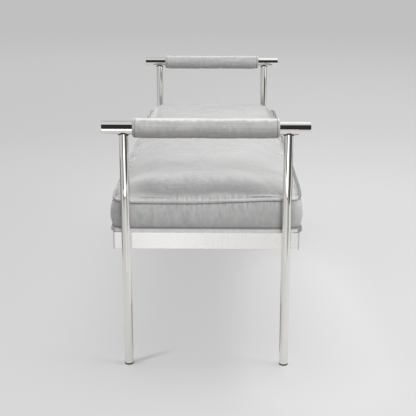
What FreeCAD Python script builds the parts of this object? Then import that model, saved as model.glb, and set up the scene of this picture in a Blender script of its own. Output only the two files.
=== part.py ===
import FreeCAD, Part
import math
import os
import Sketcher
from FreeCAD import Placement, Rotation, Vector

# Upholstered end-of-bed and luggage bench on polished steel tube.
# +X runs along the bench to its right end, +Y to the rear and +Z up. The origin is on the floor
# under the middle of the bench. All sizes are millimetres.

doc = FreeCAD.newDocument("luggage_bench")

size_table = [
    ("bench_length", 1219.2, "overall length, over the two top rails"),
    ("bench_height", 612, "floor to the top of the top rails"),
    ("rail_length", 482.6, "overall depth: top rail with its two end caps"),
    ("rail_dia", 32, "top rail tube, outside"),
    ("rail_wall", 1.5, "top rail tube wall"),
    ("cap_thickness", 2, "end cap disc outside the tube"),
    ("cap_edge", 0.6, "chamfer on the end cap"),
    ("cap_spigot", 6, "end cap spigot inside the tube"),
    ("cap_fit", 0.1, "gap between spigot and tube, per side"),
    ("leg_inset", 33, "leg axis, in from the side of the seat frame"),
    ("leg_dia", 22, "leg tube, outside"),
    ("leg_wall", 1.5, "leg tube wall"),
    ("leg_edge", 0.6, "rounding on the foot of the leg tube"),
    ("grip_length", 340, "padded grip sleeve, along the rail"),
    ("grip_dia", 45, "padded grip sleeve, outside"),
    ("grip_waist", 0.7, "how much slimmer, in radius, the sleeve is at its middle"),
    ("grip_cover", 1.5, "grip sleeve cloth"),
    ("grip_hem", 6.5, "hem seam, from each end of the sleeve"),
    ("grip_seam_depth", 1, "depth of the hem seam"),
    ("grip_seam_width", 1.6, "width of the hem seam"),
    ("grip_round", 3, "rounding of the sleeve ends"),
    ("grip_fit", 0.2, "gap between the grip foam and what is round it"),
    ("frame_width", 448, "seat frame, overall in Y"),
    ("frame_bottom", 295, "floor to the underside of the seat frame"),
    ("frame_height", 45, "seat frame tube, height"),
    ("frame_depth", 20, "seat frame tube, depth"),
    ("frame_wall", 1.5, "seat frame tube wall"),
    ("frame_edge", 2.5, "outside rounding of the seat frame tube"),
    ("frame_corner", 3, "upright rounding at the corners of the seat frame"),
    ("bar_width", 30, "cross bar tube, in X"),
    ("bar_height", 25, "cross bar tube, height"),
    ("bar_wall", 1.5, "cross bar tube wall"),
    ("bar_inset", 200, "outer cross bar, from the end of the seat frame"),
    ("board_thickness", 15, "plywood seat board"),
    ("board_fit", 0.5, "gap between the board's edge and the cover"),
    ("cushion_inset", 4, "face of the cushion's band, in from the side of the seat frame"),
    ("cushion_side", 78, "height of the band, from the seat frame to the top seam"),
    ("cushion_corner", 26, "corner radius of the cushion, in plan"),
    ("crown_height", 32, "rise of the cushion's top above the top seam"),
    ("crown_reach", 150, "distance over which the crown rises"),
    ("piping_dia", 8, "welt piping"),
    ("piping_leg_gap", 0.5, "gap between the piping and the legs"),
    ("cover_cloth", 1.5, "cushion cover cloth with its backing"),
    ("wadding", 6, "polyester wadding over the foam"),
    ("soft_gap", 0.3, "gap between cloth, wadding and foam"),
    ("hem_reach", 16, "cover turned in under the board, past the seat frame tubes"),
    ("dust_gap", 0.5, "gap between the dust cover and the turned-in hem"),
    ("bolt_dia", 6, "leg bolt"),
    ("bolt_head_dia", 11, "leg bolt head"),
    ("bolt_head_height", 4, "leg bolt head, height"),
    ("bolt_reach", 15, "leg bolt thread inside the leg"),
    ("bolt_pitch", 22, "spacing of the two bolts of a leg"),
    ("bolt_clearance", 0.4, "bolt hole over bolt, on the diameter"),
    ("thread_clearance", 0.1, "tapped hole over bolt, on the diameter"),
    ("washer_dia", 13, "leg bolt washer"),
    ("washer_thickness", 1.2, "washers, thickness"),
    ("insert_length", 44, "tapped slug inside the leg"),
    ("insert_fit", 0.1, "gap between slug and leg, per side"),
    ("glide_height", 4, "foot glide head, below the leg"),
    ("glide_edge", 0.8, "chamfer on the glide"),
    ("glide_stem", 20, "glide stem inside the leg"),
    ("glide_core_dia", 15, "glide stem between its ribs"),
    ("glide_rib", 1.4, "height of one glide rib"),
    ("glide_fit", 0.1, "gap between glide ribs and leg, per side"),
    ("screw_dia", 5, "seat screw"),
    ("screw_head_dia", 9.5, "seat screw head"),
    ("screw_head_height", 3.4, "seat screw head, height"),
    ("screw_inset", 84, "seat screws, in from the side of the seat frame"),
    ("screw_clearance", 0.5, "seat screw hole over screw, on the diameter"),
    ("screw_washer_dia", 12, "seat screw washer"),
    ("tee_barrel_dia", 7.5, "tee nut barrel"),
    ("tee_barrel_length", 11, "tee nut barrel below its flange"),
    ("tee_flange_dia", 19, "tee nut flange"),
    ("tee_flange_thickness", 1.4, "tee nut flange"),
    ("tee_fit", 0.1, "gap round the tee nut, per side"),
    ("staple_width", 10, "staple crown"),
    ("staple_wire", 0.9, "staple wire"),
    ("staple_leg", 7, "staple leg"),
    ("staple_inset", 6, "line of the staples, from the inner edge of the hem"),
]

sheet = doc.addObject("Spreadsheet::Sheet", "sizes")
for row, (alias, value, note) in enumerate(size_table, start=1):
    sheet.set(f"A{row}", note)
    sheet.set(f"B{row}", str(value))
    sheet.setAlias(f"B{row}", alias)
doc.recompute()

# Places and sizes that follow from the sheet, as expressions.
rail_x = "(sizes.bench_length - sizes.rail_dia) / 2"
rail_z = "(sizes.bench_height - sizes.rail_dia / 2)"
rail_bore = "(sizes.rail_dia - 2 * sizes.rail_wall)"
leg_y = "(sizes.frame_width / 2 - sizes.leg_inset)"
screw_y = "(sizes.frame_width / 2 - sizes.screw_inset)"
leg_bore = "(sizes.leg_dia - 2 * sizes.leg_wall)"
frame_end = "((sizes.bench_length - sizes.rail_dia - sizes.leg_dia) / 2)"
frame_top = "(sizes.frame_bottom + sizes.frame_height)"
frame_middle = "(sizes.frame_bottom + sizes.frame_height / 2)"
board_bottom = f"({frame_top} + sizes.cover_cloth)"
board_top = f"({board_bottom} + sizes.board_thickness)"
seam_top = f"({frame_top} + sizes.cushion_side)"
cushion_end = f"({frame_end} - sizes.piping_leg_gap - sizes.piping_dia)"
cushion_length = f"(2 * {cushion_end})"
cushion_width = "(sizes.frame_width - 2 * sizes.cushion_inset)"
hem_x = f"({frame_end} - sizes.frame_depth - sizes.hem_reach)"
hem_y = "(sizes.frame_width / 2 - sizes.frame_depth - sizes.hem_reach)"
bar_x = f"({frame_end} - sizes.bar_inset)"

edge_tolerance = 0.01
sides = {"front": -1, "rear": 1}
ends = {"left": -1, "right": 1}
along_y = Rotation(Vector(1, 0, 0), -90)
upright = Rotation()
sub_parts = []


def value_of(expression):
    return float(sheet.evalExpression(str(expression)))


def place(item, x="0", y="0", z="0", rotation=upright):
    item.Placement = Placement(Vector(0, 0, 0), rotation)
    for axis, expression in (("x", x), ("y", y), ("z", z)):
        item.setExpression(f"Placement.Base.{axis}", str(expression))


def finish(item, label):
    """Give a finished sub-part its name and list it for export."""
    item.Label = label
    sub_parts.append(item)
    return item


def new_body(name):
    return doc.addObject("PartDesign::Body", name)


def new_sketch(body, role, name, offset="0"):
    """A sketch on one of the body's own origin planes, moved along that plane's normal."""
    sketch = body.newObject("Sketcher::SketchObject", name)
    planes = [feature for feature in body.Origin.OriginFeatures if feature.Role == role]
    sketch.AttachmentSupport = [(planes[0], "")]
    sketch.MapMode = "FlatFace"
    if offset != "0":
        sketch.setExpression("AttachmentOffset.Base.z", offset)
    return sketch


def bind(sketch, constraint, name, expression):
    index = sketch.addConstraint(constraint)
    sketch.renameConstraint(index, name)
    sketch.setExpression(f"Constraints.{name}", str(expression))


def pin_point(sketch, geometry, point, x, y, name):
    """Fix one sketch point by its two distances from the sketch origin."""
    for kind, expression, axis in (("DistanceX", x, -2), ("DistanceY", y, -1)):
        amount = value_of(expression)
        if abs(amount) < 1e-6:
            sketch.addConstraint(Sketcher.Constraint("PointOnObject", geometry, point, axis))
        elif amount > 0:
            fix = Sketcher.Constraint(kind, -1, 1, geometry, point, amount)
            bind(sketch, fix, f"{name}{kind[-1]}", expression)
        else:
            fix = Sketcher.Constraint(kind, geometry, point, -1, 1, -amount)
            bind(sketch, fix, f"{name}{kind[-1]}", f"-({expression})")


def draw_circle(sketch, diameter, x="0", y="0", name="c"):
    centre = Vector(value_of(x), value_of(y), 0)
    radius = value_of(diameter) / 2
    circle = sketch.addGeometry(Part.Circle(centre, Vector(0, 0, 1), radius))
    pin_point(sketch, circle, 3, x, y, name)
    bind(sketch, Sketcher.Constraint("Diameter", circle, 2 * radius), f"{name}Size", diameter)


def draw_polygon(sketch, corners, name="p"):
    """A closed outline of straight lines through corners given as pairs of expressions."""
    points = [Vector(value_of(x), value_of(y), 0) for x, y in corners]
    lines = []
    for start, end in zip(points, points[1:] + points[:1]):
        lines.append(sketch.addGeometry(Part.LineSegment(start, end)))
    for line, following in zip(lines, lines[1:] + lines[:1]):
        sketch.addConstraint(Sketcher.Constraint("Coincident", line, 2, following, 1))
    for number, (x, y) in enumerate(corners):
        pin_point(sketch, lines[number], 1, x, y, f"{name}{number}")


def draw_rounded(sketch, width, height, radius, name="r"):
    """A rounded rectangle centred on the sketch origin: four lines and four tangent arcs."""
    half_width = value_of(width) / 2
    half_height = value_of(height) / 2
    round_off = value_of(radius)
    flat_x = half_width - round_off
    flat_y = half_height - round_off
    arcs = []
    lines = []
    turns = ((1, 1), (-1, 1), (-1, -1), (1, -1))
    for quarter, (side_x, side_y) in enumerate(turns):
        circle = Part.Circle(Vector(side_x * flat_x, side_y * flat_y, 0), Vector(0, 0, 1), round_off)
        arc = Part.ArcOfCircle(circle, quarter * math.pi / 2, (quarter + 1) * math.pi / 2)
        arcs.append(sketch.addGeometry(arc))
    ends_of_lines = (
        (Vector(flat_x, half_height, 0), Vector(-flat_x, half_height, 0)),
        (Vector(-half_width, flat_y, 0), Vector(-half_width, -flat_y, 0)),
        (Vector(-flat_x, -half_height, 0), Vector(flat_x, -half_height, 0)),
        (Vector(half_width, -flat_y, 0), Vector(half_width, flat_y, 0)),
    )
    for start, end in ends_of_lines:
        lines.append(sketch.addGeometry(Part.LineSegment(start, end)))
    for quarter in range(4):
        following = (quarter + 1) % 4
        sketch.addConstraint(Sketcher.Constraint("Tangent", arcs[quarter], 2, lines[quarter], 1))
        sketch.addConstraint(Sketcher.Constraint("Tangent", lines[quarter], 2, arcs[following], 1))
    for quarter, (side_x, side_y) in enumerate(turns):
        centre_x = f"{side_x} * (({width}) / 2 - ({radius}))"
        centre_y = f"{side_y} * (({height}) / 2 - ({radius}))"
        pin_point(sketch, arcs[quarter], 3, centre_x, centre_y, f"{name}{quarter}")
    bind(sketch, Sketcher.Constraint("Radius", arcs[0], round_off), f"{name}Round", radius)
    for quarter in range(1, 4):
        sketch.addConstraint(Sketcher.Constraint("Equal", arcs[0], arcs[quarter]))


def draw_corner_sliver(sketch, x, y, side, radius, name):
    """What a rounding takes off one half of a square corner at (x, y), up to its 45 degree line."""
    along = f"({x} - {side} * {radius})"
    middle_x = f"({x} - {side} * {radius} * (1 - sqrt(0.5)))"
    middle_y = f"({y} + {radius} * (1 - sqrt(0.5)))"
    corners = [(along, y), (x, y), (middle_x, middle_y)]
    points = [Vector(value_of(a), value_of(b), 0) for a, b in corners]
    centre = Vector(value_of(along), value_of(f"{y} + {radius}"), 0)
    flat = sketch.addGeometry(Part.LineSegment(points[0], points[1]))
    mitre = sketch.addGeometry(Part.LineSegment(points[1], points[2]))
    circle = Part.Circle(centre, Vector(0, 0, 1), value_of(radius))
    start, end = (-math.pi / 2, -math.pi / 4) if side > 0 else (-3 * math.pi / 4, -math.pi / 2)
    arc = sketch.addGeometry(Part.ArcOfCircle(circle, start, end))
    sketch.addConstraint(Sketcher.Constraint("Coincident", flat, 2, mitre, 1))
    sketch.addConstraint(Sketcher.Constraint("Coincident", flat, 1, arc, 1 if side > 0 else 2))
    sketch.addConstraint(Sketcher.Constraint("Coincident", mitre, 2, arc, 2 if side > 0 else 1))
    pin_point(sketch, flat, 1, along, y, f"{name}Along")
    pin_point(sketch, flat, 2, x, y, f"{name}Corner")
    pin_point(sketch, mitre, 2, middle_x, middle_y, f"{name}Middle")
    bind(sketch, Sketcher.Constraint("Radius", arc, value_of(radius)), f"{name}Round", radius)


def pad(body, sketch, length, centred=False):
    feature = body.newObject("PartDesign::Pad", "pad")
    feature.Profile = (sketch, [""])
    feature.SideType = "Symmetric" if centred else "One side"
    feature.setExpression("Length", length)
    return feature


def cut_through(body, sketch, centred=True, reverse=False):
    feature = body.newObject("PartDesign::Pocket", "pocket")
    feature.Profile = (sketch, [""])
    feature.SideType = "Symmetric" if centred else "One side"
    feature.Type = "ThroughAll"
    feature.Reversed = reverse
    return feature


def cut_down(body, sketch, depth):
    feature = body.newObject("PartDesign::Pocket", "pocket")
    feature.Profile = (sketch, [""])
    feature.SideType = "One side"
    feature.setExpression("Length", depth)
    return feature


def turned(name, profile):
    """A body turned about its own Z axis from a profile of (radius, height) pairs."""
    body = new_body(name)
    sketch = new_sketch(body, "XZ_Plane", "profile")
    draw_polygon(sketch, profile)
    feature = body.newObject("PartDesign::Revolution", "turning")
    feature.Profile = (sketch, [""])
    feature.ReferenceAxis = (sketch, ["V_Axis"])
    feature.Angle = 360
    return body


def copies(label, master, spots):
    """One node of separate solids: the master repeated at each (x, y, z, rotation)."""
    links = []
    for x, y, z, rotation in spots:
        link = doc.addObject("App::Link", "copy")
        link.LinkedObject = master
        place(link, x, y, z, rotation)
        links.append(link)
    group = doc.addObject("Part::Compound", "group")
    group.Links = links
    return finish(group, label)


# Top rails: one straight tube at each end, closed by a cap at both of its ends.

def make_top_rail(end, side_x):
    body = new_body("top_rail")
    sketch = new_sketch(body, "XY_Plane", "section")
    draw_circle(sketch, "sizes.rail_dia", name="outside")
    draw_circle(sketch, rail_bore, name="bore")
    pad(body, sketch, "sizes.rail_length - 2 * sizes.cap_thickness", centred=True)
    place(body, f"{side_x} * {rail_x}", "0", rail_z, along_y)
    finish(body, f"top_rail_{end}")


def make_rail_cap(end, side_x, side, side_y):
    disc = "sizes.rail_dia / 2"
    spigot = f"({rail_bore} / 2 - sizes.cap_fit)"
    body = turned("rail_cap", [
        ("0", "0"),
        (f"{disc} - sizes.cap_edge", "0"),
        (disc, "-sizes.cap_edge"),
        (disc, "-sizes.cap_thickness"),
        (spigot, "-sizes.cap_thickness"),
        (spigot, "-sizes.cap_thickness - sizes.cap_spigot"),
        ("0", "-sizes.cap_thickness - sizes.cap_spigot"),
    ])
    outwards = Rotation(Vector(1, 0, 0), -90 * side_y)
    place(body, f"{side_x} * {rail_x}", f"{side_y} * sizes.rail_length / 2", rail_z, outwards)
    finish(body, f"rail_cap_{end}_{side}")


# Legs: a tube from the glide up to the underside of the top rail, which it is shaped to fit.
# Two holes face the seat frame. A tapped slug inside takes the bolts.

def make_leg(end, side_x, side, side_y):
    body = new_body("leg")
    section = new_sketch(body, "XY_Plane", "section", "sizes.glide_height")
    draw_circle(section, "sizes.leg_dia", name="outside")
    draw_circle(section, leg_bore, name="bore")
    pad(body, section, f"{rail_z} - sizes.glide_height")
    saddle = new_sketch(body, "XZ_Plane", "saddle")
    draw_circle(saddle, "sizes.rail_dia", "0", rail_z)
    fitted = cut_through(body, saddle)
    doc.recompute()
    foot_edges = []
    for number, edge in enumerate(fitted.Shape.Edges, start=1):
        on_foot = abs(edge.BoundBox.ZMax - value_of("sizes.glide_height")) < edge_tolerance
        if on_foot and edge.Curve.Radius > value_of(leg_bore) / 2 + edge_tolerance:
            foot_edges.append(f"Edge{number}")
    foot = body.newObject("PartDesign::Fillet", "foot_rounding")
    foot.Base = (fitted, foot_edges)
    foot.setExpression("Radius", "sizes.leg_edge")
    holes = new_sketch(body, "YZ_Plane", "bolt_holes")
    for number, step in enumerate((-0.5, 0.5)):
        height = f"{frame_middle} + {step} * sizes.bolt_pitch"
        draw_circle(holes, "sizes.bolt_dia + sizes.bolt_clearance", "0", height, f"hole{number}")
    cut_through(body, holes, centred=False)
    turn = Rotation(Vector(0, 0, 1), 0 if side_x > 0 else 180)
    place(body, f"{side_x} * {rail_x}", f"{side_y} * {leg_y}", "0", turn)
    finish(body, f"leg_{end}_{side}")


def make_leg_inserts():
    slug = new_body("leg_insert_slug")
    section = new_sketch(slug, "XY_Plane", "section")
    draw_circle(section, f"{leg_bore} - 2 * sizes.insert_fit")
    pad(slug, section, "sizes.insert_length", centred=True)
    threads = new_sketch(slug, "YZ_Plane", "threads")
    for number, step in enumerate((-0.5, 0.5)):
        height = f"{step} * sizes.bolt_pitch"
        draw_circle(threads, "sizes.bolt_dia + sizes.thread_clearance", "0", height, f"hole{number}")
    cut_through(slug, threads)
    spots = []
    for side_x in ends.values():
        for side_y in sides.values():
            spots.append((f"{side_x} * {rail_x}", f"{side_y} * {leg_y}", frame_middle, upright))
    copies("leg_inserts", slug, spots)


glide_ribs = 3


def make_foot_glide(end, side_x, side, side_y):
    head = "sizes.leg_dia / 2"
    core = "sizes.glide_core_dia / 2"
    rib = f"({leg_bore} / 2 - sizes.glide_fit)"
    profile = [
        ("0", "0"),
        (f"{head} - sizes.glide_edge", "0"),
        (head, "sizes.glide_edge"),
        (head, "sizes.glide_height"),
        (core, "sizes.glide_height"),
    ]
    for number in range(1, glide_ribs + 1):
        level = f"(sizes.glide_height + {number} * sizes.glide_stem / {glide_ribs + 1})"
        profile.append((core, f"{level} - sizes.glide_rib / 2"))
        profile.append((rib, level))
        profile.append((core, f"{level} + sizes.glide_rib / 2"))
    tip = "sizes.glide_height + sizes.glide_stem"
    profile.append((core, f"{tip} - sizes.glide_edge"))
    profile.append((f"{core} - sizes.glide_edge", tip))
    profile.append(("0", tip))
    body = turned("foot_glide", profile)
    place(body, f"{side_x} * {rail_x}", f"{side_y} * {leg_y}", "0")
    finish(body, f"foot_glide_{end}_{side}")


# Padded grips: a foam tube round each top rail inside a sewn sleeve.

def make_grip(end, side_x):
    skin = "sizes.grip_dia / 2"
    half = "sizes.grip_length / 2"
    seam = f"({half} - sizes.grip_hem)"
    rail_skin = "sizes.rail_dia / 2"
    inside = f"({skin} - sizes.grip_cover)"
    end_wall = f"({half} - sizes.grip_cover)"

    def outer_half(side):
        return [
            (skin, f"{side} * ({seam} - sizes.grip_seam_width / 2)"),
            (f"{skin} - sizes.grip_seam_depth", f"{side} * {seam}"),
            (skin, f"{side} * ({seam} + sizes.grip_seam_width / 2)"),
            (skin, f"{side} * ({half} - sizes.grip_round)"),
            (f"{skin} - 0.3 * sizes.grip_round", f"{side} * ({half} - 0.3 * sizes.grip_round)"),
            (f"{skin} - sizes.grip_round", f"{side} * {half}"),
            (rail_skin, f"{side} * {half}"),
            (rail_skin, f"{side} * {end_wall}"),
            (f"{inside} - sizes.grip_round", f"{side} * {end_wall}"),
            (f"{inside} - sizes.grip_seam_depth", f"{side} * ({end_wall} - sizes.grip_round)"),
            (f"{inside} - sizes.grip_seam_depth", f"{side} * ({seam} - 2 * sizes.grip_seam_width)"),
        ]

    waist = [(f"{skin} - sizes.grip_waist", "0")]
    inner_waist = [(f"{inside} - sizes.grip_seam_depth - sizes.grip_waist", "0")]
    profile = waist + outer_half(1) + inner_waist + outer_half(-1)[::-1]
    cover = turned("grip_cover", profile)
    place(cover, f"{side_x} * {rail_x}", "0", rail_z, along_y)
    finish(cover, f"grip_cover_{end}")

    foam_skin = f"({inside} - sizes.grip_seam_depth - sizes.grip_fit)"
    foam_bore = f"({rail_skin} + sizes.grip_fit)"
    foam_end = f"({end_wall} - sizes.grip_fit)"
    foam = turned("grip_foam", [
        (f"{foam_skin} - sizes.grip_waist", "0"),
        (foam_skin, f"{seam} - 2 * sizes.grip_seam_width"),
        (foam_skin, f"{foam_end} - sizes.grip_round"),
        (f"{foam_skin} - sizes.grip_round / 2", foam_end),
        (foam_bore, foam_end),
        (foam_bore, f"-{foam_end}"),
        (f"{foam_skin} - sizes.grip_round / 2", f"-{foam_end}"),
        (foam_skin, f"-{foam_end} + sizes.grip_round"),
        (foam_skin, f"2 * sizes.grip_seam_width - {seam}"),
    ])
    place(foam, f"{side_x} * {rail_x}", "0", rail_z, along_y)
    finish(foam, f"grip_foam_{end}")


# Seat frame: four rectangular tubes, mitred at the corners, with cross bars between them.

def make_frame_tube(label, length, x, y, turn, bolted):
    """A mitred tube along its own X, with its outer face towards its own -Y."""
    body = new_body("frame_tube")
    section = new_sketch(body, "YZ_Plane", "section")
    draw_rounded(section, "sizes.frame_depth", "sizes.frame_height", "sizes.frame_edge", "outside")
    bore_depth = "sizes.frame_depth - 2 * sizes.frame_wall"
    bore_height = "sizes.frame_height - 2 * sizes.frame_wall"
    draw_rounded(section, bore_depth, bore_height, "sizes.frame_edge - sizes.frame_wall", "bore")
    pad(body, section, length, centred=True)
    depth = "sizes.frame_depth"
    mitres = new_sketch(body, "XY_Plane", "mitres")
    for side in (-1, 1):
        draw_polygon(mitres, [
            (f"{side} * (({length}) / 2 + {depth})", f"-1.5 * {depth}"),
            (f"{side} * (({length}) / 2 - 2 * {depth})", f"1.5 * {depth}"),
            (f"{side} * (({length}) / 2 + {depth})", f"1.5 * {depth}"),
        ], "left" if side < 0 else "right")
    cut_through(body, mitres)
    rounding = new_sketch(body, "XY_Plane", "corner_rounding")
    for side in (-1, 1):
        corner_x = f"({side} * ({length}) / 2)"
        name = "left" if side < 0 else "right"
        draw_corner_sliver(rounding, corner_x, f"(-{depth} / 2)", side, "sizes.frame_corner", name)
    cut_through(body, rounding)
    if bolted:
        holes = new_sketch(body, "XZ_Plane", "bolt_holes")
        for number, (across, up) in enumerate(((-1, -1), (-1, 1), (1, -1), (1, 1))):
            hole_x = f"{across} * {leg_y}"
            hole_z = f"{up} * sizes.bolt_pitch / 2"
            draw_circle(holes, "sizes.bolt_dia + sizes.bolt_clearance", hole_x, hole_z, f"hole{number}")
        cut_through(body, holes)
    place(body, x, y, frame_middle, Rotation(Vector(0, 0, 1), turn))
    finish(body, label)


def make_seat_frame():
    inset = "sizes.frame_depth / 2"
    for side, side_y in sides.items():
        y = f"{side_y} * (sizes.frame_width / 2 - {inset})"
        turn = 0 if side_y < 0 else 180
        make_frame_tube(f"side_rail_{side}", f"2 * {frame_end}", "0", y, turn, False)
    for end, side_x in ends.items():
        x = f"{side_x} * ({frame_end} - {inset})"
        make_frame_tube(f"end_rail_{end}", "sizes.frame_width", x, "0", 90 * side_x, True)


bar_places = {"left": -1, "middle": 0, "right": 1}


def make_cross_bar(spot, step):
    body = new_body("cross_bar")
    section = new_sketch(body, "XY_Plane", "section")
    draw_rounded(section, "sizes.bar_width", "sizes.bar_height", "2 * sizes.bar_wall", "outside")
    bore_width = "sizes.bar_width - 2 * sizes.bar_wall"
    bore_height = "sizes.bar_height - 2 * sizes.bar_wall"
    draw_rounded(section, bore_width, bore_height, "sizes.bar_wall", "bore")
    pad(body, section, "sizes.frame_width - 2 * sizes.frame_depth", centred=True)
    holes = new_sketch(body, "XZ_Plane", "screw_holes")
    for number, side in enumerate((-1, 1)):
        hole = "sizes.screw_dia + sizes.screw_clearance"
        draw_circle(holes, hole, "0", f"{side} * {screw_y}", f"hole{number}")
    cut_through(body, holes)
    level = f"{frame_top} - sizes.bar_height / 2"
    place(body, f"{step} * {bar_x}", "0", level, along_y)
    finish(body, f"cross_bar_{spot}")


screw_spots = [
    (f"{step} * {bar_x}", f"{side} * {screw_y}")
    for step in bar_places.values()
    for side in (-1, 1)
]


# Fasteners.

def pan_head(name, diameter, length, head_dia, head_height):
    """A screw along +Z: its shank starts at z = 0 and its socketed head is below."""
    return turned(name, [
        ("0", f"-0.4 * {head_height}"),
        (f"0.25 * {head_dia}", f"-0.4 * {head_height}"),
        (f"0.25 * {head_dia}", f"-{head_height}"),
        (f"0.42 * {head_dia}", f"-{head_height}"),
        (f"0.5 * {head_dia}", f"-0.7 * {head_height}"),
        (f"0.5 * {head_dia}", "0"),
        (f"{diameter} / 2", "0"),
        (f"{diameter} / 2", f"{length} - 0.1 * {diameter}"),
        (f"0.4 * {diameter}", length),
        ("0", length),
    ])


def make_washer(name, outside, hole):
    body = new_body(name)
    sketch = new_sketch(body, "XY_Plane", "section")
    draw_circle(sketch, outside, name="outside")
    draw_circle(sketch, hole, name="hole")
    pad(body, sketch, "sizes.washer_thickness")
    return body


def make_leg_bolts():
    length = "(sizes.washer_thickness + sizes.frame_depth + sizes.leg_wall + sizes.bolt_reach)"
    bolt = pan_head("leg_bolt", "sizes.bolt_dia", length, "sizes.bolt_head_dia", "sizes.bolt_head_height")
    washer = make_washer("leg_washer", "sizes.washer_dia", "sizes.bolt_dia + sizes.bolt_clearance")
    bolt_spots = []
    washer_spots = []
    inner_face = f"({frame_end} - sizes.frame_depth)"
    for side_x in ends.values():
        outwards = Rotation(Vector(0, 1, 0), 90 * side_x)
        for side_y in sides.values():
            for step in (-0.5, 0.5):
                y = f"{side_y} * {leg_y}"
                z = f"{frame_middle} + {step} * sizes.bolt_pitch"
                under_washer = f"{side_x} * ({inner_face} - sizes.washer_thickness)"
                bolt_spots.append((under_washer, y, z, outwards))
                washer_spots.append((under_washer, y, z, outwards))
    copies("leg_bolts", bolt, bolt_spots)
    copies("leg_washers", washer, washer_spots)


def make_seat_screws():
    bar_bottom = f"({frame_top} - sizes.bar_height)"
    screw_start = f"({bar_bottom} - sizes.washer_thickness)"
    length = f"({board_top} - {screw_start} - sizes.tee_flange_thickness)"
    screw = pan_head("seat_screw", "sizes.screw_dia", length,
                     "sizes.screw_head_dia", "sizes.screw_head_height")
    hole = "sizes.screw_dia + sizes.screw_clearance"
    washer = make_washer("seat_washer", "sizes.screw_washer_dia", hole)
    copies("seat_screws", screw, [(x, y, screw_start, upright) for x, y in screw_spots])
    copies("seat_washers", washer, [(x, y, screw_start, upright) for x, y in screw_spots])

    tapped = "(sizes.screw_dia + sizes.thread_clearance) / 2"
    barrel = "sizes.tee_barrel_dia / 2"
    flange = "sizes.tee_flange_dia / 2"
    tee = turned("tee_nut", [
        (tapped, "-sizes.tee_flange_thickness - sizes.tee_barrel_length"),
        (barrel, "-sizes.tee_flange_thickness - sizes.tee_barrel_length"),
        (barrel, "-sizes.tee_flange_thickness"),
        (flange, "-sizes.tee_flange_thickness"),
        (flange, "0"),
        (tapped, "0"),
    ])
    copies("tee_nuts", tee, [(x, y, board_top, upright) for x, y in screw_spots])


# Staples hold the turned-in hem to the board, all round its inner edge.

staples_per_side = 9
staples_per_end = 4


def make_staples():
    wire = "sizes.staple_wire"
    half = "sizes.staple_width / 2"
    staple = new_body("staple")
    outline = new_sketch(staple, "XZ_Plane", "outline")
    draw_polygon(outline, [
        (f"-{half}", f"-{wire}"),
        (half, f"-{wire}"),
        (half, "sizes.staple_leg"),
        (f"{half} - {wire}", "sizes.staple_leg"),
        (f"{half} - {wire}", "0"),
        (f"-{half} + {wire}", "0"),
        (f"-{half} + {wire}", "sizes.staple_leg"),
        (f"-{half}", "sizes.staple_leg"),
    ])
    pad(staple, outline, wire, centred=True)
    line_x = f"({hem_x} + sizes.staple_inset)"
    line_y = f"({hem_y} + sizes.staple_inset)"
    across = Rotation(Vector(0, 0, 1), 90)
    spots = []
    for side in (-1, 1):
        for number in range(staples_per_side):
            share = (2 * number + 1) / staples_per_side - 1
            spots.append((f"{share:.5f} * {line_x}", f"{side} * {line_y}", frame_top, upright))
        for number in range(staples_per_end):
            share = (2 * number + 1) / staples_per_end - 1
            spots.append((f"{side} * {line_x}", f"{share:.5f} * {line_y}", frame_top, across))
    return copies("staples", staple, spots)


def pierce(label, body, staples):
    pierced = doc.addObject("Part::Cut", "pierced")
    pierced.Base = body
    pierced.Tool = staples
    finish(pierced, label)


# Seat board and dust cover.

def make_seat_board(staples):
    body = new_body("board_blank")
    outline = new_sketch(body, "XY_Plane", "outline", board_bottom)
    inset = "(sizes.cover_cloth + sizes.board_fit)"
    draw_rounded(outline, f"{cushion_length} - 2 * {inset}", f"{cushion_width} - 2 * {inset}",
                 f"sizes.cushion_corner - {inset}")
    pad(body, outline, "sizes.board_thickness")
    holes = new_sketch(body, "XY_Plane", "barrel_holes")
    for number, (x, y) in enumerate(screw_spots):
        draw_circle(holes, "sizes.tee_barrel_dia + 2 * sizes.tee_fit", x, y, f"hole{number}")
    cut_through(body, holes)
    recesses = new_sketch(body, "XY_Plane", "flange_recesses", board_top)
    for number, (x, y) in enumerate(screw_spots):
        draw_circle(recesses, "sizes.tee_flange_dia + 2 * sizes.tee_fit", x, y, f"recess{number}")
    cut_down(body, recesses, "sizes.tee_flange_thickness")
    pierce("seat_board", body, staples)


def make_dust_cover():
    body = new_body("dust_cover_sheet")
    outline = new_sketch(body, "XY_Plane", "outline", frame_top)
    draw_polygon(outline, [
        (f"{side_x} * ({hem_x} - sizes.dust_gap)", f"{side_y} * ({hem_y} - sizes.dust_gap)")
        for side_x, side_y in ((-1, -1), (1, -1), (1, 1), (-1, 1))
    ])
    for number, (x, y) in enumerate(screw_spots):
        draw_circle(outline, "sizes.screw_dia + sizes.screw_clearance", x, y, f"hole{number}")
    pad(body, outline, "sizes.cover_cloth")
    finish(body, "dust_cover")


# Seat cushion: foam and wadding in a boxed cover, with piping along both seams of the band.
# The top is a crown that rises quickly from the seam and levels off towards the middle.

crown_steps = (0, 0.1, 0.3, 0.6, 1)
crown_power = 2.4


def crown_sections(body, depth, base):
    """Outlines of a crown that lies at a depth below the outside of the cushion."""
    sections = []
    for number, step in enumerate(crown_steps):
        rise = 1 - (1 - step) ** crown_power
        inset = f"({depth} + (sizes.crown_reach - {depth}) * {step})"
        level = base if number == 0 else f"{seam_top} + (sizes.crown_height - {depth}) * {rise:.6f}"
        sketch = new_sketch(body, "XY_Plane", f"crown_{number}", level)
        draw_rounded(sketch, f"{cushion_length} - 2 * {inset}", f"{cushion_width} - 2 * {inset}",
                     f"sizes.cushion_corner - {depth}")
        sections.append(sketch)
    return sections


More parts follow.
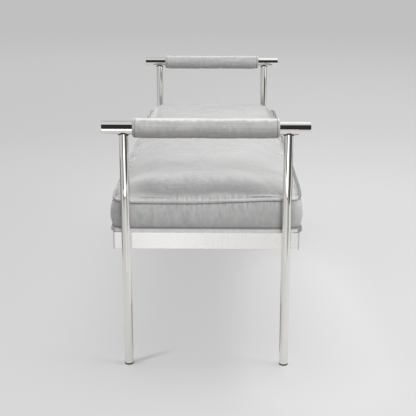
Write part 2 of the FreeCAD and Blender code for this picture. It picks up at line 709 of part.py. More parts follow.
def add_crown(body, depth, base=seam_top):
    sections = crown_sections(body, depth, base)
    loft = body.newObject("PartDesign::AdditiveLoft", "crown")
    loft.Profile = (sections[0], [""])
    loft.Sections = [(section, [""]) for section in sections[1:]]
    loft.Ruled = False
    return loft


def make_crown_shell(label, outer_depth, inner_depth):
    outside = new_body("crown_outside")
    add_crown(outside, outer_depth)
    inside = new_body("crown_inside")
    add_crown(inside, inner_depth)
    shell = doc.addObject("Part::Cut", "crown_shell")
    shell.Base = outside
    shell.Tool = inside
    return finish(shell, label)


def make_foam_core():
    body = new_body("foam_block")
    inset = "(sizes.cover_cloth + sizes.soft_gap)"
    outline = new_sketch(body, "XY_Plane", "outline", board_top)
    draw_rounded(outline, f"{cushion_length} - 2 * {inset}", f"{cushion_width} - 2 * {inset}",
                 f"sizes.cushion_corner - {inset}")
    block_top = f"({seam_top} - sizes.soft_gap)"
    pad(body, outline, f"{block_top} - {board_top}")
    add_crown(body, "(sizes.cover_cloth + sizes.wadding + sizes.soft_gap)", block_top)
    finish(body, "foam_core")


def make_cover_band(staples):
    body = new_body("band_blank")
    outside = new_sketch(body, "XY_Plane", "outside", frame_top)
    draw_rounded(outside, cushion_length, cushion_width, "sizes.cushion_corner")
    pad(body, outside, "sizes.cushion_side")
    inside = new_sketch(body, "XY_Plane", "inside", seam_top)
    cloth = "sizes.cover_cloth"
    draw_rounded(inside, f"{cushion_length} - 2 * {cloth}", f"{cushion_width} - 2 * {cloth}",
                 f"sizes.cushion_corner - {cloth}")
    cut_down(body, inside, f"sizes.cushion_side - {cloth}")
    opening = new_sketch(body, "XY_Plane", "hem_opening")
    draw_polygon(opening, [
        (f"{side_x} * {hem_x}", f"{side_y} * {hem_y}")
        for side_x, side_y in ((-1, -1), (1, -1), (1, 1), (-1, 1))
    ])
    cut_through(body, opening)
    pierce("cover_band", body, staples)


def make_piping(label, level):
    """A round cord that lies against the band all the way round."""
    body = new_body("piping")
    reach = "sizes.piping_dia"
    corner = "(sizes.cushion_corner + sizes.piping_dia / 2)"
    path = new_sketch(body, "XY_Plane", "path", level)
    draw_rounded(path, f"{cushion_length} + {reach}", f"{cushion_width} + {reach}", corner)
    start = f"{cushion_length} / 2 + {reach} / 2 - {corner}"
    section = new_sketch(body, "YZ_Plane", "section", start)
    draw_circle(section, "sizes.piping_dia", f"{cushion_width} / 2 + {reach} / 2", level)
    sweep = body.newObject("PartDesign::AdditivePipe", "cord")
    sweep.Profile = (section, [""])
    sweep.Spine = (path, [f"Edge{number}" for number in range(1, 9)])
    sweep.Mode = "Frenet"
    finish(body, label)


for end, side_x in ends.items():
    make_top_rail(end, side_x)
    make_grip(end, side_x)
    for side, side_y in sides.items():
        make_rail_cap(end, side_x, side, side_y)
        make_leg(end, side_x, side, side_y)
        make_foot_glide(end, side_x, side, side_y)
make_leg_inserts()
make_seat_frame()
for spot, step in bar_places.items():
    make_cross_bar(spot, step)
make_leg_bolts()
make_seat_screws()
staples = make_staples()
make_seat_board(staples)
make_dust_cover()
make_foam_core()
make_crown_shell("wadding", "(sizes.cover_cloth + sizes.soft_gap)", "(sizes.cover_cloth + sizes.wadding)")
make_crown_shell("cover_top_panel", "0", "sizes.cover_cloth")
make_cover_band(staples)
make_piping("piping_bottom", f"({frame_top} + sizes.piping_dia / 2)")
make_piping("piping_top", seam_top)
doc.recompute()

faults = [item.Name for item in doc.Objects if "Invalid" in item.State or "Error" in item.State]
for item in sub_parts:
    if item.Shape.isNull() or not item.Shape.isValid() or not item.Shape.Solids:
        faults.append(item.Label)
if faults:
    raise RuntimeError(f"not built: {faults}")

os.makedirs("parts", exist_ok=True)
for item in sub_parts:
    item.Shape.exportStep(f"parts/{item.Label}.step")
    print(item.Label, len(item.Shape.Solids), round(item.Shape.Volume))
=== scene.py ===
import math

import bmesh
import bpy
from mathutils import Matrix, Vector, noise


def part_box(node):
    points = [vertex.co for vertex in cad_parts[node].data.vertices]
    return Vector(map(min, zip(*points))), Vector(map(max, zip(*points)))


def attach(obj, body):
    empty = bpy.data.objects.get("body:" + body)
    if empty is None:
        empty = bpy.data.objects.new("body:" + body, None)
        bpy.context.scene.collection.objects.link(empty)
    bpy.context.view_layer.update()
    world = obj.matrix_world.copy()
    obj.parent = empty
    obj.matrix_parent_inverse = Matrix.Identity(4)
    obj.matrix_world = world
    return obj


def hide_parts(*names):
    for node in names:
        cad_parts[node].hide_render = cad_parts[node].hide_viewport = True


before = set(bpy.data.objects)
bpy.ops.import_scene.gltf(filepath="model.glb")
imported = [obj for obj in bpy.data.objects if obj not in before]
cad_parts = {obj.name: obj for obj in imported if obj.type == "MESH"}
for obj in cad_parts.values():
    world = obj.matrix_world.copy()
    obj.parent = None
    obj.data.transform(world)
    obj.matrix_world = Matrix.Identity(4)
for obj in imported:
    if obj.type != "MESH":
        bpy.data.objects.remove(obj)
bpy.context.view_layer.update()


# camera, in metres, degrees and millimetres of lens
camera = dict(place=(2.5039, 0.0338, 0.9932), down=14.35, turn=-0.88,
          lens=73.13, sensor=36, shiftY=-0.1, near=0.05, far=100)


def setCamera():
    down, turn = math.radians(camera["down"]), math.radians(camera["turn"])
    ahead = Vector((-math.cos(down) * math.cos(turn), math.cos(down) * math.sin(turn), -math.sin(down)))
    data = bpy.data.cameras.new("benchCamera")
    data.lens, data.sensor_width, data.shift_y = camera["lens"], camera["sensor"], camera["shiftY"]
    data.clip_start, data.clip_end = camera["near"], camera["far"]
    made = bpy.data.objects.new("benchCamera", data)
    bpy.context.scene.collection.objects.link(made)
    made.location = camera["place"]
    made.rotation_euler = ahead.to_track_quat("-Z", "Y").to_euler()
    bpy.context.scene.camera = made
    bpy.context.scene.view_settings.view_transform = "Standard"


# materials
def overload(operation, turned=False):
    return lambda self, other: self.maths(operation, *((other, self) if turned else (self, other)))


class Wire:  # one value on its way through a material
    def __init__(self, look, socket):
        self.look, self.socket = look, socket

    def maths(self, operation, *values):
        return self.look.node("ShaderNodeMath", {"operation": operation}, dict(enumerate(values)))

    __add__, __radd__ = overload("ADD"), overload("ADD", True)
    __sub__, __rsub__ = overload("SUBTRACT"), overload("SUBTRACT", True)
    __mul__, __rmul__ = overload("MULTIPLY"), overload("MULTIPLY", True)
    __truediv__, __rtruediv__ = overload("DIVIDE"), overload("DIVIDE", True)
    __pow__, __lt__, __gt__ = overload("POWER"), overload("LESS_THAN"), overload("GREATER_THAN")
    least, most = overload("MINIMUM"), overload("MAXIMUM")

    def __abs__(self): return self.maths("ABSOLUTE", self)
    def wave(self): return self.maths("SINE", self)

    def ramp(self, low, high, start=0, end=1):  # eased step from start to end
        return self.look.node("ShaderNodeMapRange", {"interpolation_type": "SMOOTHSTEP"},
                              {"Value": self, "From Min": low, "From Max": high, "To Min": start, "To Max": end})


class Look:  # makes the nodes of one material or of the world
    def __init__(self, owner):
        self.owner = owner
        owner.use_nodes = True
        self.tree = owner.node_tree
        self.tree.nodes.clear()

    def node(self, kind, settings=None, sockets=None, out=0):
        made = self.tree.nodes.new(kind)
        for key, value in (settings or {}).items():
            setattr(made, key, value)
        for key, value in (sockets or {}).items():
            if isinstance(value, Wire):
                self.tree.links.new(value.socket, made.inputs[key])
            else:
                made.inputs[key].default_value = value
        return Wire(self, made.outputs[out]) if made.outputs else None

    def spot(self):  # the point on the piece, in metres
        return self.node("ShaderNodeTexCoord", {}, {}, "Object")

    def axes(self, vector):
        return [self.node("ShaderNodeSeparateXYZ", {}, {0: vector}, axis) for axis in range(3)]

    def point(self, x, y, z):
        return self.node("ShaderNodeCombineXYZ", {}, {0: x, 1: y, 2: z})

    def stretched(self, vector, scale):
        return self.node("ShaderNodeMapping", {}, {"Vector": vector, "Scale": scale})

    def grain(self, vector, scale, detail=2, roughness=0.5, twist=0):
        return self.node("ShaderNodeTexNoise", {}, {"Vector": vector, "Scale": scale, "Detail": detail,
                                                    "Roughness": roughness, "Distortion": twist})

    def blend(self, share, first, second):  # one colour to another
        return self.node("ShaderNodeMix", {"data_type": "RGBA"}, {0: share, 6: first, 7: second}, 2)

    def bump(self, height, distance, strength=1, under=None):
        sockets = {"Height": height, "Distance": distance, "Strength": strength}
        if under is not None:
            sockets["Normal"] = under
        return self.node("ShaderNodeBump", {}, sockets)

    def close(self, sockets):
        shader = self.node("ShaderNodeBsdfPrincipled", {}, sockets)
        self.node("ShaderNodeOutputMaterial", {}, {"Surface": shader})
        return self.owner


def newLook(name):
    return Look(bpy.data.materials.new(name))


def grey(value, warmth=0):
    return (value * (1 + warmth), value, value * (1 - warmth), 1)


def shifted(ramp, by):  # a ramp measured from another place
    return (ramp[0] + by, ramp[1] + by, *ramp[2:])


polish = dict(
    tube=dict(tone=(0.87, 0.85, 0.815, 1), gloss=0.035, smudged=0.03),
    frame=dict(tone=(0.96, 0.95, 0.925, 1), gloss=0.26, smudged=0.008),
    lineScale=2600, lineRun=35, lineDepth=0.000004,  # polishing lines run along the tube
    smudgeScale=11, smudges=(0.52, 0.72), hairlines=(0.66, 0.74),
    paintedCornerShade=(-0.0042, -0.0026, 0, 0.3),  # painted shade: the rounded upright corners are coloured darker, standing for the darker room they reflect
)


def makePolishedSteel(name, kind, along, corner=None):
    p = polish
    values = p[kind]
    look = newLook(name)
    spot = look.spot()
    fineScale = [p["lineScale"]] * 3
    fineScale[along] = p["lineRun"]
    lines = look.grain(look.stretched(spot, fineScale), 1, 2)
    smudge = look.grain(spot, p["smudgeScale"], 3, 0.6).ramp(*p["smudges"])
    hairlines = look.grain(look.stretched(spot, [s * 0.35 for s in fineScale]), 1, 1)
    roughness = values["gloss"] + (smudge + hairlines.ramp(*p["hairlines"])) * values["smudged"]
    dimmed = [part * (1 - 1.6 * values["smudged"]) for part in values["tone"][:3]] + [1]
    colour = look.blend(smudge * 0.5, values["tone"], dimmed)
    if corner:
        # painted shade on the rounded upright corners
        across = abs(look.axes(spot)[1])
        colour = look.blend(across.ramp(*shifted(p["paintedCornerShade"], corner)), colour, grey(0.2))
    return look.close({"Base Color": colour, "Metallic": 1, "Roughness": roughness,
                       "Normal": look.bump(lines, p["lineDepth"], 0.25)})


# velvet: a ramp's numbers are its low and high place in metres and what it gives there
velvet = dict(
    seat=dict(tone=0.395, warmth=0.004, sheen=0.75, strokeDepth=0.0024, pileStrength=0.5),
    grip=dict(tone=0.394, warmth=0.014, sheen=0.75, strokeDepth=0.0016, pileStrength=0.25),
    piping=dict(tone=0.5, warmth=0.004, sheen=0.45, strokeDepth=0.0024, pileStrength=0.5),
    sheenSpread=0.36, roughness=0.92, gloss=0.12,
    contrast=0.18, shade=0.62, shadeTone=0.2,
    strokes=(95, 80, 44), strokeTone=1.2,  # pile brushed across the seat
    cloudScale=14, cloudTone=0.7,
    pileScale=1500, pileTone=0.7, fluffScale=420, pileDepth=0.0004,
)
tucked = dict(  # fine tucks that the stitching draws in beside both seams; their tone is painted light on the ridges and painted shade where they gather
    strokes=(-0.1, 0.15, 1.7, 0.9),
    scale=150, run=0.1, reach=(0.004, 0.036, 1, 0), least=0.25,
    # light and dark: painted light on the tuck ridges, painted shade near the seam where they gather
    depth=0.008, light=3.4, dark=1.4,
    sideScale=14, sideGroups=(0.4, 0.62),
    endGroups=((-0.095, -0.055), (0.125, 0.165, 1, 0)),
    endBreak=0.021, endBreakWidth=(0.002, 0.014, 0.3, 1),
    fallScale=60, fallRun=0.25, fall=(-0.001, 0, 0.65, 0),  # mottling down the band
)
paintedShading = dict(  # painted shade beside the piping, by the place along it and by the gap to it
    onBand=(-0.001, 0, 1, 0), seam=(0.0005, 0.0085, 0.05, 0), base=(0.0072, 0.0108, 0.65, 0),
    left=((-0.16, -0.05, 1, 0), (0.01, 0.0145, 1, 0)),
    right=((0.02, 0.14, 0, 0.3), (0.0055, 0.008, 1, 0)),
    corner=(0.004, 0.012), side=(0.0045, 0.0075, 0.45, 0),
    farSide=((-0.3, -0.1, 1, 0), (0.006, 0.034, 0.85, 0)), farEnd=(-0.53, -0.46, 0.3, 0),
)
paintedLightShade = dict(  # painted shade on the crown's slope, the band's foot, beside the legs and on the left, and painted light along a lip, over the middle and at the band's top
    band=(0.004, 0.024, 0.24, 0),  # up from the base and down from the seam
    leg=0.19, rightOfLeg=(0.2, 0.22, 0.36, 0), leftOfLeg=0.2,
    cloudy=0.03, stroked=0.02, right=(0.07, 0.17, 0, 0.032), left=(-0.18, -0.1, 0.012, 0),
    start=(0.006, 0.029, 0, 1), least=(-0.15, -0.06, 0.35, 0.22), end=(0.03, 0.098, 1, 0),
    sides=(0.005, 0.08), top=0.54,
    shadeSide=(-0.22, 0.14, 0.2, 0), shadeEnd=(0.08, 0.2),
    lip=0.01, lipWidth=(0, 0.0032, 0.4, 0), lipSide=(0.08, 0.13),
    middle=((0.19, 0.33, 0, 0.12), (0.44, 0.49, 1, 0)), bandTop=(-0.036, -0.014, 0, 0.07),
    darkTone=0.3, lightTone=1.9,
)
sleevePile = dict(
    streaks=(60, 9, 260), streakTone=1.4, hoops=(30, 190, 30), hoopTone=0.55,
    hem=(0.0004, 0.0016, 1, 0), stroked=0.006,
    low=(-0.01, 0.01, 1, 0), lowShare=0.38, farLowLess=0.14, lowTone=0.3,
    top=(0.018, 0.0206, 0, 1), topShare=0.5, farTopLess=0.25, topTone=2.1, topWarmth=0.4,
)
cordPile = dict(  # painted light and shade on the cord: light across the ends, painted shade along the sides, under the upper cord and in the groove over the lower one, painted light along the lower cord's foot
    side=(-0.004, 0.002, 0, 1), rear=(-0.02, 0.02), sideShare=0.35, rearShare=0.45,
    under=(-0.0022, 0.0006, 0.34, 0), groove=(0.0008, 0.003, 0, 0.65), near=0.02, darkTone=0.25,
    paintedShading=(-0.001, 0.001, 0.08, 0), lightTone=1.7,
)


def tintOf(kind, share, warmth=1):  # this velvet's colour, darker or lighter
    return grey(velvet[kind]["tone"] * share, velvet[kind]["warmth"] * warmth)


def tuckPile(look, axes, gaps, gathers, tone, normal):
    t = tucked
    x, y, z = axes
    endGap, sideGap, fromSeam = gaps
    nearEnd = endGap < sideGap
    along = nearEnd * y + (1 - nearEnd) * x
    tucks = look.grain(look.point(along, fromSeam * t["run"], nearEnd), t["scale"], 2, 0.5, 0.25)
    groups = look.grain(look.point(along, 0, nearEnd), t["sideScale"], 1).ramp(*t["sideGroups"])
    start, stop = t["endGroups"]
    ends = y.ramp(*start) * y.ramp(*stop) * abs(y - t["endBreak"]).ramp(*t["endBreakWidth"])
    groups = nearEnd * ends + (1 - nearEnd) * groups
    groups = t["least"] + groups * (1 - t["least"])
    fade = fromSeam.ramp(*t["reach"])
    tucks = tucks * fade * groups
    # painted light on the tuck ridges and painted shade where they gather
    tone = tone + tucks * t["light"] - fade * groups * t["dark"]
    fall = look.grain(look.point(along, z * t["fallRun"], nearEnd), t["fallScale"], 3, 0.6)
    tone = tone + (fall - 0.5) * z.ramp(*shifted(t["fall"], gathers["seam"]))
    return tone, look.bump(tucks, t["depth"], 1, normal)


def paintSeamShade(axes, gaps, gathers, onBand):  # painted shade: how much darker beside the seams
    p = paintedShading
    x, y, z = axes
    endGap, sideGap, fromSeam = gaps
    shade = onBand * fromSeam.ramp(*p["seam"])
    shade = shade.most(z.ramp(*shifted(p["base"], gathers["base"])))
    left, right = [y.ramp(*p[side][0]) * endGap.ramp(*p[side][1]) for side in ("left", "right")]
    # painted dark lines behind the cord, along the sides and at the far end
    paintedLines = left.most(right) * sideGap.ramp(*p["corner"])
    paintedLines = paintedLines.most(sideGap.ramp(*p["side"]))
    paintedLines = paintedLines.most(x.ramp(*p["farSide"][0]) * sideGap.ramp(*p["farSide"][1]))
    return shade.most((1 - onBand) * paintedLines.most(x.ramp(*p["farEnd"])))


def paintCushionLight(look, axes, gaps, gathers, onBand, grains, colour):
    p = paintedLightShade
    x, y, z = axes
    endGap, sideGap, _ = gaps
    stroke, cloud = grains
    start, stop, low, high = p["band"]
    band = onBand * z.ramp(gathers["base"] + start, gathers["seam"] - stop, low, high)
    # painted shadow of the legs on the band
    rightOfLeg = (y > p["leg"]) * y.ramp(*p["rightOfLeg"])
    band = band.most(onBand * (rightOfLeg + (y < -p["leg"]) * p["leftOfLeg"]))
    level = endGap + (cloud - 0.5) * p["cloudy"] + (stroke - 0.5) * p["stroked"]
    level = level + y.ramp(*p["right"]) - y.ramp(*p["left"])
    near = level.ramp(*p["start"]).most(y.ramp(*p["least"]))
    top = near * level.ramp(*p["end"]) * sideGap.ramp(*p["sides"])
    dark = (top * (1 - onBand) * p["top"]).most(band)
    # painted shade, heavier on the left side of the top
    leftSideShade = y.ramp(*p["shadeSide"]) * endGap.ramp(*p["shadeEnd"]) * (1 - onBand)
    colour = look.blend(dark.most(leftSideShade), colour, tintOf("seat", p["darkTone"]))
    # painted light along a lip by the right corner, over the middle and at the band's top
    light = abs(endGap - p["lip"]).ramp(*p["lipWidth"]) * y.ramp(*p["lipSide"])
    start, stop = p["middle"]
    light = light.most(x.ramp(*start) * x.ramp(*stop)) * (1 - onBand)
    light = light.most(onBand * z.ramp(*shifted(p["bandTop"], gathers["seam"])))
    return look.blend(light, colour, tintOf("seat", p["lightTone"]))


def paintSleeveLightShade(look, axes, sleeve, stroke, colour):  # painted highlight along the top and painted shade below the middle, both weaker on the far sleeve
    p = sleevePile
    x, _, z = axes
    left = x < 0
    level = z - sleeve["axis"] + (stroke - 0.5) * p["stroked"]
    low = level.ramp(*p["low"]) * (p["lowShare"] - left * p["farLowLess"])
    colour = look.blend(low, colour, tintOf("grip", p["lowTone"]))
    top = level.ramp(*p["top"]) * (p["topShare"] - left * p["farTopLess"])
    return look.blend(top, colour, tintOf("grip", p["topTone"], p["topWarmth"]))


def shadeCord(look, axes, cord, colour):
    p = cordPile
    _, y, z = axes
    side = abs(y).ramp(*shifted(p["side"], cord["halfWidth"]))
    rear = y.ramp(*p["rear"])
    under = z.ramp(*shifted(p["under"], cord["level"])) * (z > cord["level"] - p["near"])
    groove = z.ramp(*shifted(p["groove"], cord["low"])) * (z < cord["low"] + p["near"])
    # painted shade along the sides, under the upper cord and in the groove
    dark = (side * (p["sideShare"] + rear * p["rearShare"])).most(under).most(groove)
    colour = look.blend(dark, colour, tintOf("piping", p["darkTone"]))
    # painted light along the lower cord's foot, where it sits on the frame
    light = z.ramp(*shifted(p["paintedShading"], cord["low"])) * (1 - side)
    return look.blend(light, colour, tintOf("piping", p["lightTone"]))


def makeVelvet(name, kind, gathers=None, sleeve=None, cord=None):
    values = velvet[kind]
    look = newLook(name)
    spot = look.spot()
    x, y, z = axes = look.axes(spot)
    stroke = look.grain(look.stretched(spot, velvet["strokes"]), 1, 4, 0.66, 0.5)
    cloud = look.grain(spot, velvet["cloudScale"], 3, 0.6, 0.3)
    pile = look.grain(spot, velvet["pileScale"], 2, 0.6)
    uneven = y.ramp(*tucked["strokes"]) if gathers else velvet["strokeTone"]
    tone = 0.5 + (stroke - 0.5) * uneven + (cloud - 0.5) * velvet["cloudTone"] + (pile - 0.5) * velvet["pileTone"]
    if sleeve:  # streaks along and round the sleeve
        streak = look.grain(look.stretched(spot, sleevePile["streaks"]), 1, 3, 0.6, 0.3)
        hoop = look.grain(look.stretched(spot, sleevePile["hoops"]), 1, 3, 0.65)
        tone = tone + (streak - 0.5) * sleevePile["streakTone"] + (hoop - 0.5) * sleevePile["hoopTone"]
    height = pile * 0.5 + look.grain(spot, velvet["fluffScale"], 3, 0.6) * 0.5
    normal = look.bump(height, velvet["pileDepth"], values["pileStrength"])
    normal = look.bump(stroke, values["strokeDepth"], 0.5, normal)
    if gathers:
        endGap, sideGap = gathers["halfLength"] - abs(x), gathers["halfWidth"] - abs(y)
        gaps = endGap, sideGap, abs(z - gathers["seam"]) + endGap.least(sideGap).most(0)
        tone, normal = tuckPile(look, axes, gaps, gathers, tone, normal)
    dark, light = [tintOf(kind, 1 + way * velvet["contrast"]) for way in (-1, 1)]
    colour = look.blend(tone.most(0).least(1), dark, light)
    shade = None
    if gathers:
        onBand = z.ramp(*shifted(paintedShading["onBand"], gathers["seam"]))
        shade = paintSeamShade(axes, gaps, gathers, onBand)
        colour = paintCushionLight(look, axes, gaps, gathers, onBand, (stroke, cloud), colour)
    if sleeve:  # painted shade along the stitched groove near each end
        shade = abs(abs(y) - sleeve["hem"]).ramp(*sleevePile["hem"])
        colour = paintSleeveLightShade(look, axes, sleeve, stroke, colour)
    if cord:
        colour = shadeCord(look, axes, cord, colour)
    if shade is not None:
        colour = look.blend(shade * velvet["shade"], colour, tintOf(kind, velvet["shadeTone"]))
    return look.close({"Base Color": colour, "Roughness": velvet["roughness"], "Specular IOR Level": velvet["gloss"],
                       "Sheen Weight": values["sheen"], "Sheen Roughness": velvet["sheenSpread"],
                       "Sheen Tint": (1, 1, 1, 1), "Normal": normal})


blackCloth = dict(weave=4200, fluffScale=300, tones=(0.012, 0.03), depth=0.0004)


def makeLiningCloth():
    look = newLook("liningCloth")
    spot = look.spot()
    x, y, _ = look.axes(spot)
    threads = (x * blackCloth["weave"]).wave() * (y * blackCloth["weave"]).wave()
    fluff = look.grain(spot, blackCloth["fluffScale"], 3)
    colour = look.blend(fluff.ramp(0.3, 0.7), *[grey(tone) for tone in blackCloth["tones"]])
    return look.close({"Base Color": colour, "Roughness": 0.95, "Specular IOR Level": 0.2,
                       "Normal": look.bump(threads * 0.5 + fluff, blackCloth["depth"], 0.6)})


birch = dict(figure=(2.2, 26, 26), fibre=(40, 1400, 1400), underside=0.3415, plyPitch=0.0043,
         pale=(0.52, 0.36, 0.2, 1), ripe=(0.72, 0.56, 0.36, 1),
         glue=(0.34, 0.21, 0.11, 1), pore=(0.3, 0.19, 0.1, 1))


def makePlywood():
    look = newLook("plywood")
    spot = look.spot()
    figure = look.grain(look.stretched(spot, birch["figure"]), 1, 5, 0.6, 1.2)
    fibre = look.grain(look.stretched(spot, birch["fibre"]), 1, 3)
    ply = ((look.axes(spot)[2] - birch["underside"]) * (2 * math.pi / birch["plyPitch"])).wave().ramp(-0.2, 0.2)
    colour = look.blend(ply * 0.35, look.blend(figure, birch["pale"], birch["ripe"]), birch["glue"])
    return look.close({"Base Color": look.blend(fibre * 0.3, colour, birch["pore"]),
                       "Roughness": 0.62 + fibre * 0.2, "Normal": look.bump(fibre, 0.0002, 0.5)})


plain = dict(  # a stain between two tones, bumps, and what each adds to the roughness
    glidePlastic=dict(stain=(160, 3), steps=(0.55, 0.7), tones=(grey(0.01), grey(0.03)),
                      bumps=(1800, 2), depth=0.00008, strength=0.5, rough=(0.42, 0.25, 0)),
    zincPlate=dict(stain=(120, 3), steps=(0.35, 0.65), tones=((0.52, 0.52, 0.5, 1), (0.68, 0.69, 0.7, 1)),
                   bumps=(900, 3), depth=0.00006, strength=0.5, rough=(0.3, 0, 0.22), metal=1),
    sewingThread=dict(stain=(1, 2), tones=(grey(0.2, 0.01), grey(0.44, 0.01)), stretch=(900, 2600, 900),
                      bumps=(1, 2), depth=0.0001, strength=0.6, rough=(0.7, 0, 0), sheen=0.4),
    # near-black weld beads: painted shade and reflection at each joint
    paintedJointShade=dict(stain=(700, 2), tones=((0.022, 0.019, 0.017, 1), (0.085, 0.075, 0.065, 1)),
                  bumps=(700, 2), depth=0.0002, strength=0.5, rough=(0.25, 0, 0.2), metal=1),
)


def makePlain(name):
    p = plain[name]
    look = newLook(name)
    spot = look.stretched(look.spot(), p["stretch"]) if "stretch" in p else look.spot()
    stain, bumps = look.grain(spot, *p["stain"]), look.grain(spot, *p["bumps"])
    stain = stain.ramp(*p["steps"]) if "steps" in p else stain
    rough, *shares = p["rough"]
    for share, pattern in zip(shares, (stain, bumps)):
        rough = rough + pattern * share if share else rough
    return look.close({"Base Color": look.blend(stain, *p["tones"]), "Roughness": rough, "Metallic": p.get("metal", 0),
                       "Sheen Weight": p.get("sheen", 0), "Normal": look.bump(bumps, p["depth"], p["strength"])})


# modelling helpers
def deselect():
    bpy.ops.object.select_all(action="DESELECT")


def makeActive(piece):
    deselect()
    piece.select_set(True)
    bpy.context.view_layer.objects.active = piece


def startEdit(piece):
    makeActive(piece)
    bpy.ops.object.mode_set(mode="EDIT")


def endEdit():
    bpy.ops.object.mode_set(mode="OBJECT")


def pick(piece, kind, wanted):  # selects verts, edges or faces by their place
    bpy.ops.mesh.select_mode(type={"verts": "VERT", "edges": "EDGE", "faces": "FACE"}[kind])
    bpy.ops.mesh.select_all(action="DESELECT")
    mesh = bmesh.from_edit_mesh(piece.data)
    if kind == "faces":
        mesh.normal_update()
    for part in getattr(mesh, kind):
        if kind == "verts":
            found = wanted(part.co)
        elif kind == "edges":
            found = wanted(part.verts[0].co, part.verts[1].co)
        else:
            found = wanted(part.calc_center_median(), part.normal)
        if found:
            part.select_set(True)
    mesh.select_flush_mode()
    bmesh.update_edit_mesh(piece.data)


def settle(piece, name):  # the place goes into the mesh
    piece.name = piece.data.name = name
    bpy.ops.object.mode_set(mode="OBJECT")
    makeActive(piece)
    bpy.ops.object.transform_apply(location=True, rotation=True, scale=True)
    return piece


def applyAll(piece):
    makeActive(piece)
    for modifier in list(piece.modifiers):
        bpy.ops.object.modifier_apply(modifier=modifier.name)


def finish(piece, angle, material):
    makeActive(piece)
    bpy.ops.object.shade_smooth_by_angle(angle=math.radians(angle))
    piece.data.materials.append(material)


def subdivideOnce(piece):
    finer = piece.modifiers.new("finer", "SUBSURF")
    finer.levels = finer.render_levels = 1
    applyAll(piece)


def puff(piece, values, held):  # cloth under air pressure, then applied
    start = [v.co.copy() for v in piece.data.vertices]
    group = piece.vertex_groups.new(name="held")
    for index, weight in held.items():
        group.add([index], weight, "REPLACE")
    cloth = piece.modifiers.new("cloth", "CLOTH")
    stiffness = values["stiffness"]
    for key, value in dict(
        quality=6, mass=0.3, tension_stiffness=stiffness, compression_stiffness=stiffness,
        shear_stiffness=stiffness * 0.4, bending_stiffness=values["bend"], use_pressure=True,
        uniform_pressure_force=values["pressure"], shrink_min=-values["growth"],
        vertex_group_mass="held", pin_stiffness=0.6).items():
        setattr(cloth.settings, key, value)
    cloth.settings.effector_weights.gravity = 0
    cloth.collision_settings.use_collision = False
    cloth.point_cache.frame_start, cloth.point_cache.frame_end = 1, values["frames"]
    scene = bpy.context.scene
    for step in range(1, values["frames"] + 1):
        scene.frame_set(step)
    applyAll(piece)
    scene.frame_set(1)
    even = piece.modifiers.new("even", "SMOOTH")  # takes out the finest creases, not the held seams
    even.factor, even.iterations = 0.5, values["calm"]
    even.vertex_group, even.invert_vertex_group = "held", True
    applyAll(piece)
    piece.vertex_groups.clear()
    for vertex, old in zip(piece.data.vertices, start):
        move = vertex.co - old
        if move.length > values["cap"]:
            vertex.co = old + move * (values["cap"] / move.length)


def eased(value):
    value = max(0, min(1, value))
    return value * value * (3 - 2 * value)


def hill(distance, width):  # 1 at its middle, falling off over its width
    return math.exp(-(distance / width) ** 2)


# seat cushion: one closed cover, crowned on top, boxed at the sides, turned in under the board
seatCover = dict(
    lengthCells=176, widthCells=70, sideCells=13,
    corner=0.026,  # plan radius of the upright corners
    margin=0.004,  # flat strip of top panel beside the piping
    endReach=0.064, sideReach=0.075,  # how far in the crown has reached its height
    farEndReach=0.046, farSideReach=0.03,  # steeper and a little higher at the other end
    farFrom=0.1,
    crown=0.025, farCrown=0.0035,  # crown before the cover is puffed up
    edgeRise=0.0035, edgeReach=0.012,  # the panel stands up straight behind the piping
    sideBulge=0.0135, sideRound=0.4, endBulge=0.0022, endRound=0.6, bulgeReach=0.03,
    endLimit=0.5812,  # stays behind the lower cord
    pressure=3, growth=0.0015, stiffness=14, bend=2, cap=0.0065, calm=14, frames=20,
    foamHold=0.1,
    tuckDepth=0.0026, tuckStart=0.003, tuckReach=0.03, tuckPitch=0.0125,  # gathers under the top seam
    tuckWander=1.3, tuckLeast=0.35, tuckOnTop=0.7,
    rippleDepth=0.0009,  # shallow dents all over
    rippleReach=0.012, bandHeight=0.078,
    foldHeight=0.0024, foldGap=0.0095, foldSpan=(0.085, 0.165),  # slack over the piping by the right corner
    hem=0.0275,  # from the face of the band to the hem's inner edge
    hemLip=0.0004, underside=0.004,
    fill=0.8,
)
seam = dict(  # how far the sewing wanders; the cover and the piping both follow it
    wave=0.0015, along=0.0008, cornerLift=0.0032, endSink=0.006, sideBow=0.0052, lowSpread=0.003, lowDrop=0.0005,
)


def roundCorner(x, y, a, b, r):  # square corner of a plan to a round one
    u, v = (abs(x) - (a - r)) / r, (abs(y) - (b - r)) / r
    if u <= 0 or v <= 0:
        return x, y
    scale = max(u, v) / math.hypot(u, v)
    return math.copysign(a - r + u * scale * r, x), math.copysign(b - r + v * scale * r, y)


def splitAlong(piece, axis, cells):
    pick(piece, "edges", lambda p, q: abs((q - p).normalized()[axis]) > 0.99)
    bpy.ops.mesh.subdivide(number_cuts=cells - 1)


def seamShift(x, y, a, b, upper):
    s = seam
    place = Vector((x * 7, y * 7, 3 if upper else 8))
    rise = s["wave"] * (noise.noise(place) + 0.5 * noise.noise(place * 2.7))
    out = s["along"] * noise.noise(place * 1.3 + Vector((9, 0, 0)))
    if upper:
        rise += s["cornerLift"] * hill(x - a, 0.2) * hill(y - b, 0.15)
        rise -= s["endSink"] * (1 - eased((y + 0.06) / 0.23)) * eased((y + b) / 0.035) * (1 - eased((a - x) / 0.12))
        out += s["sideBow"] * eased((y - b + 0.05) / 0.05) * (1 - hill(a - x, 0.06))
    else:
        out += s["lowSpread"]
        rise = rise * 0.4 - s["lowDrop"]
    return math.copysign(1, y) * eased((abs(y) - b + 0.04) / 0.04) * out, rise


def edgeGaps(x, y, a, b):  # in from the end and from the side, and along the nearer
    endGap, sideGap = a - abs(x), b - abs(y)
    return endGap, sideGap, (y if endGap < sideGap else x)


